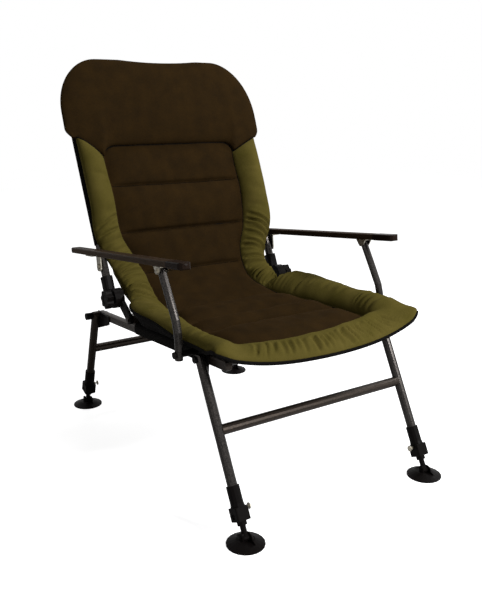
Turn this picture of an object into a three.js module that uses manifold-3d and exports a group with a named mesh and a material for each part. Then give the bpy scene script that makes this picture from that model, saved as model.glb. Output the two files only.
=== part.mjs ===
// Carp fishing chair: a folding steel frame on four telescopic legs, with a
// reclining back, folding armrests and a quilted mattress.
// Millimetres; X is across the chair, -Y is its front, +Z is up, and the
// origin lies on the ground in the middle of the four feet.

import * as THREE from "three";
import { mergeVertices, toCreasedNormals } from "three/addons/utils/BufferGeometryUtils.js";
import Module from "manifold-3d";

const library = await Module();
library.setup();

// Clearances

const gap = 0.3;
const play = 0.3;
const overrun = 6;
const softGap = 0.6;

// Seat frame

const rail = { halfSpan: 236, height: 26, width: 16, wall: 1.6, slopeAngle: 4.46, plug: 14 };
const railEnds = { front: 332, rear: 341, datumHeight: 324.3 };
const frontTube = { y: -300, radius: 10, wall: 1.5 };
const rearTube = { y: 40, radius: 8, wall: 1.5, drop: 9 };
const sling = { thickness: 2, sag: 4, front: 200, rear: 100 };
const gusset = { thickness: 3, cornerRadius: 5, rearReach: 62.4, boltSpacing: 18.7 };
const pin = { radius: 4, headRadius: 8, headLength: 4, nutRadius: 7 };
const hingePost = { front: 100, rear: 132, height: 22, boltRadius: 3.5, headRadius: 6.5, headLength: 4 };

// Legs

const leg = { radius: 11, wall: 1.5, boreStop: 5 };
const feet = { halfLength: 427, pinHeight: 14 };
const frontPivot = { y: -252, lift: 3.1 };
const rearPivot = { y: 326, lift: 2.2 };
const crossbar = { radius: 11.5, wall: 1.5, frontReach: 154.6, rearReach: 114.4 };
const pivotCap = { radius: 10, length: 17, bore: 8 };
const lock = {
  sleeveRadius: 14.2, sleeveLength: 40, boxLength: 32, boxWidth: 31, boxDepth: 33, boxRadius: 4,
  shoulder: 8, reach: 107, seat: 20, recessRadius: 6, recessDepth: 2.5, recessHeight: 11,
};
const extension = {
  radius: 9.1, wall: 1.4, length: 190, collarRadius: 10.5, collarLength: 9,
  stubRadius: 6.5, eyeRadius: 6.5, pinRadius: 2.6,
};
const lockPin = {
  radius: 2, length: 17, collarRadius: 4.2, collarLength: 2.5, ringRadius: 7, ringThickness: 2.2,
  height: 23, tipGap: 0.8,
};
const mudFoot = {
  radius: 41, shoulderRadius: 33, rim: 2.6, domeRadius: 20, domeHeight: 25, skirtHeight: 11,
  slotHalf: 7.2, earThickness: 4, earHeight: 27, earWidth: 15, pinHead: 4.2, pinHeadLength: 1.6,
};

// Recliner hinges

const recliner = {
  y: 180, rise: 72.8, discRadius: 25.5, fixedThickness: 9.4, movingThickness: 15,
  armWidth: 24, armThickness: 9.4,
  knobGap: 4, knobRadius: 22, knobDepth: 17, lobeDepth: 2.6, knobHub: 12, hubRadius: 13,
  studRadius: 5, studLength: 24, socketWidth: 28, socketLength: 40, socketFloor: 3,
};
const knobLobes = 7;
const pointsPerLobe = 5;

// Backrest frame

const back = {
  leanAngle: 24, tubeRadius: 11, tubeWall: 1.5, tubeOffset: 25.6, topReach: 594,
  cornerRadius: 75, cornerTail: 28, spigot: 24, panelStart: 150, panelEnd: 478, panelThickness: 2,
};

// Armrests and their supports

const arm = {
  spacing: 20.4, width: 27, thickness: 15, edgeRadius: 4, pitchAngle: 6.36, front: 112.8, rear: 510,
  frontCap: 68, rearCap: 9, capRise: 1, grooveWidth: 2.4, grooveDepth: 1.1, pivotDrop: 18.7,
  rearPivotReach: 92.4, tenon: 14, tenonWall: 4,
};
const grooveCount = 3;
const bracket = { thickness: 2, webThickness: 1.5, length: 34, pinRadius: 3, headRadius: 5.5, headLength: 3 };
const rearBracket = { thickness: 3, width: 26, footLength: 46, headRadius: 6.5, headLength: 3.4 };
const support = {
  y: -217, lift: 10.8, leanAngle: 22.2, length: 182.5, radius: 9, wall: 1.4,
  spacerRadius: 7,
};

// Mattress

const mattress = {
  frontY: -363, lift: 66, forward: 64, seamDip: 26, thickness: 60, edge: 3,
  crown: 22, channelCrown: 10, seatSeam: 22,
  droop: 39, frontBow: 25, cornerBow: 12, cornerWidth: 45,
  headSeamHeight: 735, headSeamRise: 43, headSeamInset: 30, headCrown: 30, headBack: 25,
  headReach: 59, headCornerDrop: 77, headDip: 4, headTop: 982, headFootReach: 46,
};
const edgeReach = { seat: 37, front: 44, lumbarLow: 16, lumbarTop: 3, waist: 2, waistTop: 5, back: 39 };
const seamInset = {
  front: 61, seatFront: 54, seat: 81, lumbar: 90, waist: 81, waistTop: 71, back: 44, backRise: 42,
  backMiddle: 39, top: 30,
};
const fromRail = (sizes, sign) => Object.fromEntries(
  Object.entries(sizes).map(([name, size]) => [name, rail.halfSpan + sign * size]),
);
const edges = fromRail(edgeReach, 1);
const seams = fromRail(seamInset, -1);
// Cross-sections from the front edge to the top. On the seat they lie between the front edge and the
// hinge, lift above the rails, and on the back they lie up the tubes, forward of them. Half and seam are
// half widths, dip is how deep a seam is sunk, and under is the thickness below the sewn edge.
const seatBandShares = [
  { along: 0.0, lift: 0.3227, half: edges.front, seam: seams.front, dip: 0.846, under: 1.0 },
  { along: 0.0436, lift: 0.397, half: edges.front, seam: seams.front, dip: 0.846, under: 1.0 },
  { along: 0.1528, lift: 0.4894, half: edges.seat, seam: seams.front, dip: 0.846, under: 1.0 },
  { along: 0.3332, lift: 0.6121, half: edges.seat, seam: seams.seatFront, dip: 0.769, under: 1.0 },
  { along: 0.5325, lift: 0.7409, half: edges.seat, seam: seams.seat, dip: 0.808, under: 1.0 },
  { along: 0.7784, lift: 0.8909, half: edges.seat, seam: seams.lumbar, dip: 1.0, under: 0.833 },
  { along: 0.8715, lift: 1.0015, half: edges.lumbarLow, seam: seams.lumbar, dip: 0.846, under: 0.633 },
];
const backBandShares = [
  { up: 0.0086, forward: 0.9938, half: edges.lumbarTop, seam: seams.lumbar, dip: 0.615, under: 0.633 },
  { up: 0.0428, forward: 0.5813, half: edges.waist, seam: seams.waist, dip: 0.462, under: 0.533 },
  { up: 0.0864, forward: 0.3297, half: edges.waist, seam: seams.waist, dip: 0.308, under: 0.467 },
  { up: 0.1477, forward: 0.2047, half: edges.waistTop, seam: seams.waistTop, dip: 0.308, under: 0.417 },
  { up: 0.2735, forward: 0.3047, half: edges.back, seam: seams.back, dip: 0.346, under: 0.333 },
  { up: 0.4241, forward: 0.5094, half: edges.back, seam: seams.backRise, dip: 0.615, under: 0.5 },
  { up: 0.5565, forward: 0.5156, half: edges.back, seam: seams.backMiddle, dip: 0.731, under: 0.5 },
  { up: 0.7069, forward: 0.5281, half: edges.back, seam: seams.top, dip: 0.654, under: 0.5 },
  { up: 0.7425, forward: 0.5547, half: edges.back, seam: seams.top, dip: 0.654, under: 0.5 },
  { up: 0.914, forward: 0.6687, half: edges.back, seam: seams.top, dip: 0.654, under: 0.5 },
  { up: 1.0818, forward: 0.7812, half: edges.back, seam: seams.top, dip: 0.654, under: 0.5 },
];
const bands = [...seatBandShares, ...backBandShares].map(band => ({
  ...band, dip: band.dip * mattress.seamDip, under: band.under * mattress.thickness,
}));

// Materials

const finish = (color, roughness, metalness) =>
  new THREE.MeshStandardMaterial({ color, roughness, metalness });
const hammered = finish(0x3a3836, 0.35, 0.8);
const brownMetal = finish(0x3d342c, 0.45, 0.7);
const zinc = finish(0xb8b4aa, 0.3, 0.95);
const blackPlastic = finish(0x0f0e0d, 0.5, 0);
const mouldedPlastic = finish(0x4a4037, 0.5, 0);
const darkCap = finish(0x1a1310, 0.35, 0);
const blackCloth = finish(0x0c0b0b, 0.95, 0);
const oliveCloth = finish(0x4d4a24, 0.9, 0);
const fleece = finish(0x2a1d10, 0.95, 0);

// Solids

const degrees = Math.PI / 180;
const ring = 14;
const discFacets = 24;
const footFacets = 20;
const bendFacets = 4;
const pinFacets = 10;
const hexagon = 6;
const boltFacets = 12;
const thinFacets = 8;
const cornerSteps = 3;
const ovalSteps = 5;
const creaseAngle = 35;
const sides = [{ letter: "left", sign: -1 }, { letter: "right", sign: 1 }];

function toSolid(geometry) {
  const plain = geometry.clone();
  plain.deleteAttribute("normal");
  plain.deleteAttribute("uv");
  const merged = mergeVertices(plain);
  return new library.Manifold(new library.Mesh({
    numProp: 3,
    vertProperties: new Float32Array(merged.attributes.position.array),
    triVerts: new Uint32Array(merged.index.array),
  }));
}

function toMesh(name, solid, material) {
  const data = solid.getMesh();
  const geometry = new THREE.BufferGeometry();
  geometry.setAttribute("position", new THREE.BufferAttribute(new Float32Array(data.vertProperties), 3));
  geometry.setIndex(new THREE.BufferAttribute(new Uint32Array(data.triVerts), 1));
  const mesh = new THREE.Mesh(toCreasedNormals(geometry, creaseAngle * degrees), material);
  mesh.name = name;
  return mesh;
}

const join = (first, ...others) => others.reduce((sum, next) => sum.add(next), first);
const cut = (first, ...others) => others.reduce((rest, next) => rest.subtract(next), first);

// A cylinder along X between two distances from the middle plane
function crossRod(sign, inner, outer, y, z, radius, count = pinFacets) {
  const geometry = new THREE.CylinderGeometry(radius, radius, outer - inner, count);
  geometry.rotateZ(Math.PI / 2);
  geometry.translate(sign * (inner + outer) / 2, y, z);
  return toSolid(geometry);
}

// A cylinder along Z
function post(x, y, bottom, top, radius, topRadius = radius, count = ring) {
  const geometry = new THREE.CylinderGeometry(topRadius, radius, top - bottom, count);
  geometry.rotateX(Math.PI / 2);
  geometry.translate(x, y, (bottom + top) / 2);
  return toSolid(geometry);
}

function block(x0, x1, y0, y1, z0, z1) {
  const geometry = new THREE.BoxGeometry(Math.abs(x1 - x0), y1 - y0, z1 - z0);
  geometry.translate((x0 + x1) / 2, (y0 + y1) / 2, (z0 + z1) / 2);
  return toSolid(geometry);
}

const extruded = (shape, depth, curveSegments) =>
  new THREE.ExtrudeGeometry(shape, { depth, bevelEnabled: false, curveSegments });

// A flat outline in the YZ plane, as thick as the two distances say
function sidePlate(sign, inner, outer, shape) {
  const geometry = extruded(shape, outer - inner, cornerSteps);
  geometry.translate(0, 0, sign > 0 ? inner : -outer);
  geometry.applyMatrix4(new THREE.Matrix4().makeBasis(
    new THREE.Vector3(0, 1, 0),
    new THREE.Vector3(0, 0, 1),
    new THREE.Vector3(1, 0, 0),
  ));
  return toSolid(geometry);
}

// An outline with its corners rounded, each by less than half of its shorter side
const cornerShare = 0.476;

function roundedShape(points, radius) {
  const shape = new THREE.Shape();
  points.forEach((corner, i) => {
    const before = points[(i + points.length - 1) % points.length];
    const after = points[(i + 1) % points.length];
    const toBefore = new THREE.Vector2(before[0] - corner[0], before[1] - corner[1]);
    const toAfter = new THREE.Vector2(after[0] - corner[0], after[1] - corner[1]);
    const reach = Math.min(radius, toBefore.length() * cornerShare, toAfter.length() * cornerShare);
    const start = toBefore.setLength(reach).add(new THREE.Vector2(...corner));
    const end = toAfter.setLength(reach).add(new THREE.Vector2(...corner));
    if (i === 0) {
      shape.moveTo(start.x, start.y);
    } else {
      shape.lineTo(start.x, start.y);
    }
    shape.quadraticCurveTo(corner[0], corner[1], end.x, end.y);
  });
  shape.closePath();
  return shape;
}

// A closed tube or bar along a curve, with a round section that may be hollow
function roundAlong(curve, radius, steps, boreRadius = 0) {
  const section = new THREE.Shape().absarc(0, 0, radius, 0, 2 * Math.PI);
  if (boreRadius > 0) {
    section.holes.push(new THREE.Path().absarc(0, 0, boreRadius, 0, 2 * Math.PI));
  }
  const geometry = new THREE.ExtrudeGeometry(section, {
    extrudePath: curve, steps, curveSegments: ring / 2, bevelEnabled: false,
  });
  return toSolid(geometry);
}

// Frame geometry

const slope = rail.slopeAngle * degrees;
const railZ = y => railEnds.datumHeight - y * Math.tan(slope);
const railTop = y => railZ(y) + rail.height / 2 / Math.cos(slope);
const railInner = rail.halfSpan - rail.width / 2;
const railOuter = rail.halfSpan + rail.width / 2;
const gussetInner = railOuter + gap;
const gussetOuter = gussetInner + gusset.thickness;
const legX = gussetOuter + gap + leg.radius;
const legInner = legX - leg.radius;
const legOuter = legX + leg.radius;
const armX = legOuter + arm.spacing;
const frontPivotZ = railZ(frontPivot.y) + frontPivot.lift;
const rearPivotZ = railZ(rearPivot.y) + rearPivot.lift;
const supportZ = railZ(support.y) + support.lift;
const supportInner = armX - support.radius;
const supportOuter = armX + support.radius;
const hingeZ = railZ(recliner.y) + recliner.rise;
const lean = back.leanAngle * degrees;

// The chair frame's own axes turn about X; these move side-view points into them and back
function turned(point, angle) {
  const [y, z] = point;
  return [y * Math.cos(angle) - z * Math.sin(angle), y * Math.sin(angle) + z * Math.cos(angle)];
}
const outOf = (frame, point) => {
  const [y, z] = turned(point, frame.angle);
  return [frame.y + y, frame.z + z];
};
const into = (frame, point) => turned([point[0] - frame.y, point[1] - frame.z], -frame.angle);

const railFrame = { y: 0, z: railEnds.datumHeight, angle: -slope };
const backFrame = { y: recliner.y, z: hingeZ, angle: -lean };
const supportFrame = { y: support.y, z: supportZ, angle: -support.leanAngle * degrees };
const [armY, armZ] = outOf(supportFrame, [0, support.length]);
const armFrame = { y: armY, z: armZ, angle: -arm.pitchAngle * degrees };
const rearBoltPlace = outOf(backFrame, [back.tubeOffset, arm.rearPivotReach]);

function frameGroup(frame) {
  const group = new THREE.Group();
  group.position.set(0, frame.y, frame.z);
  group.rotation.x = frame.angle;
  return group;
}

// Seat frame pieces, drawn along the rail

function ovalShape(width, height) {
  const radius = width / 2;
  const straight = height / 2 - radius;
  const shape = new THREE.Shape();
  shape.absarc(0, straight, radius, 0, Math.PI);
  shape.absarc(0, -straight, radius, Math.PI, 2 * Math.PI);
  shape.closePath();
  return shape;
}

// An upright section in XZ carried along Y
function alongRail(shape, from, to) {
  const geometry = extruded(shape, to - from, ovalSteps);
  geometry.applyMatrix4(new THREE.Matrix4().makeBasis(
    new THREE.Vector3(1, 0, 0),
    new THREE.Vector3(0, 0, 1),
    new THREE.Vector3(0, -1, 0),
  ));
  geometry.translate(0, to, 0);
  return toSolid(geometry);
}

function seatRail(sign) {
  const x = sign * rail.halfSpan;
  const section = ovalShape(rail.width, rail.height);
  const bar = alongRail(section, -railEnds.front, railEnds.rear).translate([x, 0, 0]);
  const profile = roundedShape([
    [-railEnds.front, -rail.height / 2],
    [railEnds.rear, -rail.height / 2],
    [railEnds.rear, rail.height / 2],
    [-railEnds.front, rail.height / 2],
  ], rail.height / 2);
  const outside = bar.intersect(sidePlate(sign, railInner - overrun, railOuter + overrun, profile));
  const boreShape = ovalShape(rail.width - 2 * rail.wall, rail.height - 2 * rail.wall);
  const bore = alongRail(boreShape, rail.plug - railEnds.front, railEnds.rear - rail.plug);
  const holes = [[frontPivot.y, frontPivotZ], [rearPivot.y, rearPivotZ]].map(place => {
    const [y, z] = into(railFrame, place);
    return crossRod(sign, railInner - overrun, railOuter + overrun, y, z, pin.radius + play);
  });
  const postBase = rail.height / 2 - rail.wall;
  const postTop = rail.height / 2 + hingePost.height;
  const hingeBlock = block(
    sign * railInner, sign * railOuter, hingePost.front, hingePost.rear, postBase, postTop,
  );
  const boltY = (hingePost.front + hingePost.rear) / 2;
  const boltZ = rail.height / 2 + hingePost.height / 2;
  const headBase = gussetInner + recliner.armThickness + gap;
  const bolt = crossRod(sign, railOuter - rail.wall, headBase, boltY, boltZ, hingePost.boltRadius);
  const headEnd = headBase + hingePost.headLength;
  const head = crossRod(sign, headBase, headEnd, boltY, boltZ, hingePost.headRadius, hexagon);
  return join(cut(outside, bore.translate([x, 0, 0]), ...holes), hingeBlock, bolt, head);
}

function crossTube(y, z, radius, wall) {
  const reach = railInner - gap;
  const outer = crossRod(1, -reach, reach, y, z, radius, ring);
  return cut(outer, crossRod(1, -reach - overrun, reach + overrun, y, z, radius - wall, ring));
}

// Cloth slung between the rails and sewn into a sleeve round each
function seatSling() {
  const width = rail.width + 2 * (gap + sling.thickness);
  const height = rail.height + 2 * (gap + sling.thickness);
  const sleeves = sides.map(({ sign }) => {
    const shape = ovalShape(width, height);
    const sleeve = alongRail(shape, -sling.front, sling.rear);
    return sleeve.translate([sign * rail.halfSpan, 0, 0]);
  });
  const bores = sides.map(({ sign }) => {
    const shape = ovalShape(rail.width + 2 * gap, rail.height + 2 * gap);
    const bore = alongRail(shape, -sling.front - overrun, sling.rear + overrun);
    return bore.translate([sign * rail.halfSpan, 0, 0]);
  });
  const top = height / 2;
  const half = rail.halfSpan;
  const sheet = new THREE.Shape();
  sheet.moveTo(-half, top);
  sheet.quadraticCurveTo(0, top - 2 * sling.sag, half, top);
  sheet.lineTo(half, top - sling.thickness);
  sheet.quadraticCurveTo(0, top - 2 * sling.sag - sling.thickness, -half, top - sling.thickness);
  sheet.closePath();
  const notch = crossRod(1, -railInner, railInner, rearTube.y, -rearTube.drop, rearTube.radius + gap, ring);
  return cut(join(alongRail(sheet, -sling.front, sling.rear), ...sleeves), ...bores, notch);
}

// Bracket plates with the pins that the legs and arm supports turn on

function pivotPin(sign, y, z, outer) {
  const shank = crossRod(sign, railInner - gap - overrun / 2, outer, y, z, pin.radius);
  const nut = crossRod(sign, railInner - gap - pin.headLength, railInner - gap, y, z, pin.nutRadius, hexagon);
  return join(shank, nut);
}

function frontGusset(sign) {
  const low = railZ(frontPivot.y) - rail.height / 2;
  const plate = sidePlate(sign, gussetInner, gussetOuter, roundedShape([
    [frontPivot.y - leg.radius - gusset.cornerRadius, frontPivotZ + leg.radius],
    [frontPivot.y - leg.radius, low - rail.height],
    [frontPivot.y + leg.radius, low - rail.height],
    [support.y + rail.width, railZ(support.y) - rail.height / 4],
    [support.y + support.spacerRadius + gusset.cornerRadius, supportZ + support.spacerRadius],
  ], gusset.cornerRadius));
  const headBase = legOuter + gap;
  const legPin = pivotPin(sign, frontPivot.y, frontPivotZ, headBase);
  const head = crossRod(sign, headBase, headBase + pin.headLength, frontPivot.y, frontPivotZ, pin.headRadius);
  const spacerStart = gussetOuter - gusset.thickness / 2;
  const spacerEnd = supportInner - gap;
  const spacer = crossRod(sign, spacerStart, spacerEnd, support.y, supportZ, support.spacerRadius);
  const boltEnd = supportOuter + gap;
  const bolt = crossRod(sign, spacerEnd, boltEnd, support.y, supportZ, pin.radius);
  const cap = crossRod(sign, boltEnd, boltEnd + pin.headLength, support.y, supportZ, pin.headRadius, hexagon);
  return join(plate, legPin, head, spacer, bolt, cap);
}

function rearGusset(sign) {
  const low = railZ(rearPivot.y) - rail.height / 2;
  const front = rearPivot.y - gusset.rearReach;
  const plate = sidePlate(sign, gussetInner, gussetOuter, roundedShape([
    [front, railZ(rearPivot.y) + rail.height / 3],
    [front, low],
    [rearPivot.y + leg.radius, low - rail.height],
    [rearPivot.y + 2 * leg.radius, low - rail.height],
    [rearPivot.y + leg.radius, rearPivotZ + leg.radius],
  ], gusset.cornerRadius));
  const legPin = pivotPin(sign, rearPivot.y, rearPivotZ, legOuter + pivotCap.bore);
  const boltY = rearPivot.y - gusset.boltSpacing;
  const boltStart = gussetOuter - gusset.thickness / 2;
  const boltEnd = gussetOuter + gusset.thickness;
  const bolt = crossRod(sign, boltStart, boltEnd, boltY, railZ(boltY), pin.radius, boltFacets);
  return join(plate, legPin, bolt);
}

function rearPivotCap(sign) {
  const inner = legOuter + gap;
  const { y } = rearPivot;
  const body = crossRod(sign, inner, inner + pivotCap.length, y, rearPivotZ, pivotCap.radius);
  const bore = crossRod(sign, inner - overrun, inner + pivotCap.bore, y, rearPivotZ, pin.radius + play);
  return cut(body, bore);
}

// Recliner hinges

const fixedInner = gussetInner;
const fixedOuter = fixedInner + recliner.fixedThickness;
const movingInner = fixedOuter + gap;
const movingOuter = movingInner + recliner.movingThickness;
const backTubeX = (movingInner + movingOuter) / 2;
const backTubeOuter = backTubeX + back.tubeRadius;
const socketReach = recliner.discRadius + play;
const socketStart = Math.sqrt(socketReach ** 2 - (back.tubeOffset - recliner.socketWidth / 2) ** 2) + gap;

function reclinerBase(sign) {
  const disc = crossRod(sign, fixedInner, fixedOuter, recliner.y, hingeZ, recliner.discRadius, discFacets);
  const [boltY, boltZ] = outOf(railFrame, [
    (hingePost.front + hingePost.rear) / 2,
    rail.height / 2 + hingePost.height / 2,
  ]);
  const span = Math.hypot(recliner.y - boltY, hingeZ - boltZ);
  const across = [(hingeZ - boltZ) / span, (boltY - recliner.y) / span];
  const half = recliner.armWidth / 2;
  const corner = (y, z, side) => [y + side * half * across[0], z + side * half * across[1]];
  const web = sidePlate(sign, fixedInner, fixedInner + recliner.armThickness, roundedShape([
    corner(boltY, boltZ, 1),
    corner(recliner.y, hingeZ, 1),
    corner(recliner.y, hingeZ, -1),
    corner(boltY, boltZ, -1),
  ], gap));
  const foot = crossRod(sign, fixedInner, fixedInner + recliner.armThickness, boltY, boltZ, half, ring);
  const hole = crossRod(sign, fixedInner - overrun, fixedOuter + overrun, boltY, boltZ,
    hingePost.boltRadius + play);
  const studStart = (fixedInner + fixedOuter) / 2;
  const studEnd = fixedOuter + recliner.studLength;
  const stud = crossRod(sign, studStart, studEnd, recliner.y, hingeZ, recliner.studRadius);
  return join(cut(join(disc, web, foot), hole), stud);
}

// An upright post with a rounded oblong plan
function roundedPost(x, y, width, depth, bottom, top, radius) {
  const shape = roundedShape([
    [x - width / 2, y - depth / 2],
    [x + width / 2, y - depth / 2],
    [x + width / 2, y + depth / 2],
    [x - width / 2, y + depth / 2],
  ], radius);
  const geometry = extruded(shape, top - bottom, cornerSteps);
  geometry.translate(0, 0, bottom);
  return toSolid(geometry);
}

function reclinerArm(sign) {
  const disc = crossRod(sign, movingInner, movingOuter, 0, 0, recliner.discRadius, discFacets);
  const cheek = sidePlate(sign, movingInner, movingOuter, roundedShape([
    [0, -recliner.discRadius],
    [back.tubeOffset + recliner.socketWidth / 2, 0],
    [back.tubeOffset + recliner.socketWidth / 2, socketStart + recliner.socketFloor],
    [0, socketStart + recliner.socketFloor],
  ], recliner.socketFloor));
  const top = socketStart + recliner.socketLength;
  const socket = roundedPost(sign * backTubeX, back.tubeOffset, recliner.socketWidth, recliner.socketWidth,
    socketStart, top, recliner.socketWidth / 3);
  const bore = post(sign * backTubeX, back.tubeOffset, socketStart + recliner.socketFloor, top + overrun,
    back.tubeRadius + gap);
  const holeRadius = recliner.studRadius + play;
  const studHole = crossRod(sign, movingInner - overrun, movingOuter + overrun, 0, 0, holeRadius);
  return cut(join(disc, cheek, socket), bore, studHole);
}

function reclinerKnob(sign) {
  const star = new THREE.Shape();
  const count = knobLobes * pointsPerLobe;
  for (let i = 0; i < count; i += 1) {
    const angle = i * 2 * Math.PI / count;
    const radius = recliner.knobRadius + recliner.lobeDepth * Math.cos(knobLobes * angle);
    const point = [radius * Math.cos(angle), radius * Math.sin(angle)];
    if (i === 0) {
      star.moveTo(...point);
    } else {
      star.lineTo(...point);
    }
  }
  star.closePath();
  const inner = movingOuter + gap;
  const grip = sidePlate(sign, inner + recliner.knobGap, inner + recliner.knobGap + recliner.knobDepth, star);
  const hub = crossRod(sign, inner, inner + recliner.knobGap + recliner.lobeDepth, 0, 0, recliner.hubRadius);
  const bore = crossRod(sign, inner - overrun, fixedOuter + recliner.studLength + gap, 0, 0,
    recliner.studRadius + play);
  const dish = crossRod(sign, inner + recliner.knobGap + recliner.knobDepth - recliner.lobeDepth / 2,
    inner + recliner.knobGap + recliner.knobDepth + overrun, 0, 0, recliner.knobHub);
  return cut(join(grip, hub), bore, dish);
}

// Backrest frame, drawn in its own axes: Z runs up the back tubes

// A route through points, with one section at each of them
class Route extends THREE.Curve {
  constructor(points) {
    super();
    this.points = points;
  }

  getPoint(t) {
    return this.points[Math.round(t * (this.points.length - 1))].clone();
  }

  getPointAt(u) {
    return this.getPoint(u);
  }

  getTangentAt(u) {
    const last = this.points.length - 1;
    const i = Math.round(u * last);
    const before = this.points[Math.max(i - 1, 0)];
    const after = this.points[Math.min(i + 1, last)];
    return after.clone().sub(before).normalize();
  }
}

const throughRoute = (points, radius, bore) => roundAlong(new Route(points), radius, points.length - 1, bore);

const backTubeStart = socketStart + recliner.socketFloor + gap;
const topTubeHalf = backTubeX - back.cornerRadius - back.cornerTail;

// A back tube with the bend at its top
function backTube(sign) {
  const bend = Array.from({ length: bendFacets + 1 }, (_, i) => {
    const angle = i / bendFacets * Math.PI / 2;
    const across = backTubeX - back.cornerRadius + back.cornerRadius * Math.cos(angle);
    const up = back.topReach - back.cornerRadius + back.cornerRadius * Math.sin(angle);
    return new THREE.Vector3(sign * across, back.tubeOffset, up);
  });
  const start = new THREE.Vector3(sign * backTubeX, back.tubeOffset, backTubeStart);
  const end = new THREE.Vector3(sign * topTubeHalf, back.tubeOffset, back.topReach);
  return throughRoute([start, ...bend, end], back.tubeRadius, back.tubeRadius - back.tubeWall);
}

function backTopTube() {
  const reach = topTubeHalf - gap;
  const { tubeOffset: y, topReach: z } = back;
  const outer = crossRod(1, -reach, reach, y, z, back.tubeRadius, ring);
  const spigot = crossRod(1, -reach - back.spigot, reach + back.spigot, y, z,
    back.tubeRadius - back.tubeWall - gap, ring);
  const bore = crossRod(1, -reach - back.spigot - overrun, reach + back.spigot + overrun, y, z,
    back.tubeRadius - 2 * back.tubeWall - gap, ring);
  return cut(join(outer, spigot), bore);
}

function backPanel() {
  const radius = back.tubeRadius + gap + back.panelThickness;
  const sheet = block(-backTubeX, backTubeX, back.tubeOffset - back.panelThickness / 2,
    back.tubeOffset + back.panelThickness / 2, back.panelStart, back.panelEnd);
  const sleeves = sides.map(({ sign }) => post(sign * backTubeX, back.tubeOffset, back.panelStart,
    back.panelEnd, radius));
  const bores = sides.map(({ sign }) => post(sign * backTubeX, back.tubeOffset, back.panelStart - overrun,
    back.panelEnd + overrun, back.tubeRadius + gap));
  return cut(join(sheet, ...sleeves), ...bores);
}

// Armrests, drawn in axes that run along the plank from its front pivot

const plankLow = arm.pivotDrop - arm.thickness / 2;
const plankHigh = arm.pivotDrop + arm.thickness / 2;

function plankSection(inset) {
  const half = arm.width / 2 - inset;
  return roundedShape([
    [-half, plankLow + inset],
    [half, plankLow + inset],
    [half, plankHigh - inset],
    [-half, plankHigh - inset],
  ], arm.edgeRadius);
}

// A plank section carried along Y at one side of the chair
const plankPiece = (sign, inset, from, to) =>
  alongRail(plankSection(inset), from, to).translate([sign * armX, 0, 0]);

function armPlank(sign) {
  const from = arm.frontCap - arm.front;
  const to = arm.rear - arm.rearCap;
  const body = plankPiece(sign, 0, from, to);
  const tenon = plankPiece(sign, arm.tenonWall, from - arm.tenon, from + overrun);
  const rearTenonEnd = arm.rear - arm.rearCap / 3;
  const rearTenon = plankPiece(sign, arm.tenonWall, to - overrun, rearTenonEnd);
  const pitch = arm.width / (grooveCount + 1);
  const grooves = Array.from({ length: grooveCount }, (_, i) => {
    const x = sign * armX + (i - (grooveCount - 1) / 2) * pitch;
    return block(x - arm.grooveWidth / 2, x + arm.grooveWidth / 2, from + arm.edgeRadius, to - arm.edgeRadius,
      plankHigh - arm.grooveDepth, plankHigh + overrun);
  });
  return cut(join(body, tenon, rearTenon), ...grooves);
}

function frontArmCap(sign) {
  const end = arm.frontCap - arm.front - gap;
  const body = plankPiece(sign, -arm.capRise / 2, -arm.front, end);
  const nose = sidePlate(sign, armX - arm.width, armX + arm.width, roundedShape([
    [-arm.front, plankLow - arm.capRise],
    [end, plankLow - arm.capRise],
    [end, plankHigh + arm.capRise],
    [-arm.front, plankHigh + arm.capRise],
  ], arm.thickness / 2));
  const planEnd = end + arm.width;
  const plan = roundedPost(sign * armX, (planEnd - arm.front) / 2, arm.width + arm.capRise,
    planEnd + arm.front, plankLow - overrun, plankHigh + overrun, arm.width / 2);
  const pocket = plankPiece(sign, arm.tenonWall - gap, end - arm.tenon, end + overrun);
  return cut(body.intersect(nose).intersect(plan), pocket);
}

function rearArmCap(sign) {
  const start = arm.rear - arm.rearCap + gap;
  const body = plankPiece(sign, 0, start, arm.rear);
  const pocketEnd = arm.rear - arm.rearCap / 3 + gap;
  return cut(body, plankPiece(sign, arm.tenonWall - gap, start - overrun, pocketEnd));
}

function frontBracket(sign) {
  const innerCheek = supportInner - gap - bracket.thickness;
  const outerCheek = supportOuter + gap + bracket.thickness;
  const top = plankLow - gap;
  const shape = roundedShape([
    [-bracket.length / 2, top],
    [-bracket.headRadius, -2 * bracket.pinRadius],
    [bracket.headRadius, -2 * bracket.pinRadius],
    [bracket.length / 2, top],
  ], bracket.pinRadius);
  const innerPlate = sidePlate(sign, innerCheek, innerCheek + bracket.thickness, shape);
  const outerPlate = sidePlate(sign, outerCheek - bracket.thickness, outerCheek, shape);
  const web = block(sign * innerCheek, sign * outerCheek, -bracket.length / 2, bracket.length / 2,
    top - bracket.webThickness, top);
  const axle = crossRod(sign, innerCheek, outerCheek, 0, 0, bracket.pinRadius);
  const head = crossRod(sign, outerCheek - gap, outerCheek + bracket.headLength, 0, 0, bracket.headRadius);
  return join(innerPlate, outerPlate, web, axle, head);
}

function rearBracketPiece(sign) {
  const [y, z] = into(armFrame, rearBoltPlace);
  const inner = backTubeOuter + gap;
  const outer = inner + rearBracket.thickness;
  const top = plankLow - gap;
  const half = rearBracket.width / 2;
  const plate = sidePlate(sign, inner, outer, roundedShape([
    [y - half, z - half],
    [y + half, z - half],
    [y + half, top],
    [y - half, top],
  ], half / 2));
  const footOuter = armX + arm.width / 4;
  const footEnd = y - half + rearBracket.footLength;
  const foot = block(sign * inner, sign * footOuter, y - half, footEnd, top - rearBracket.thickness, top);
  const headEnd = outer + rearBracket.headLength;
  const head = crossRod(sign, outer - gap, headEnd, y, z, rearBracket.headRadius, hexagon);
  return join(plate, foot, head);
}

// Bent support tube; its points are shares of the distance between its two pivots
const supportShares = [
  [0.026, -0.062], [0, 0], [-0.045, 0.11], [-0.083, 0.25], [-0.096, 0.39], [-0.049, 0.7],
  [0, 1], [0.01, 1.06],
];

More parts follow.
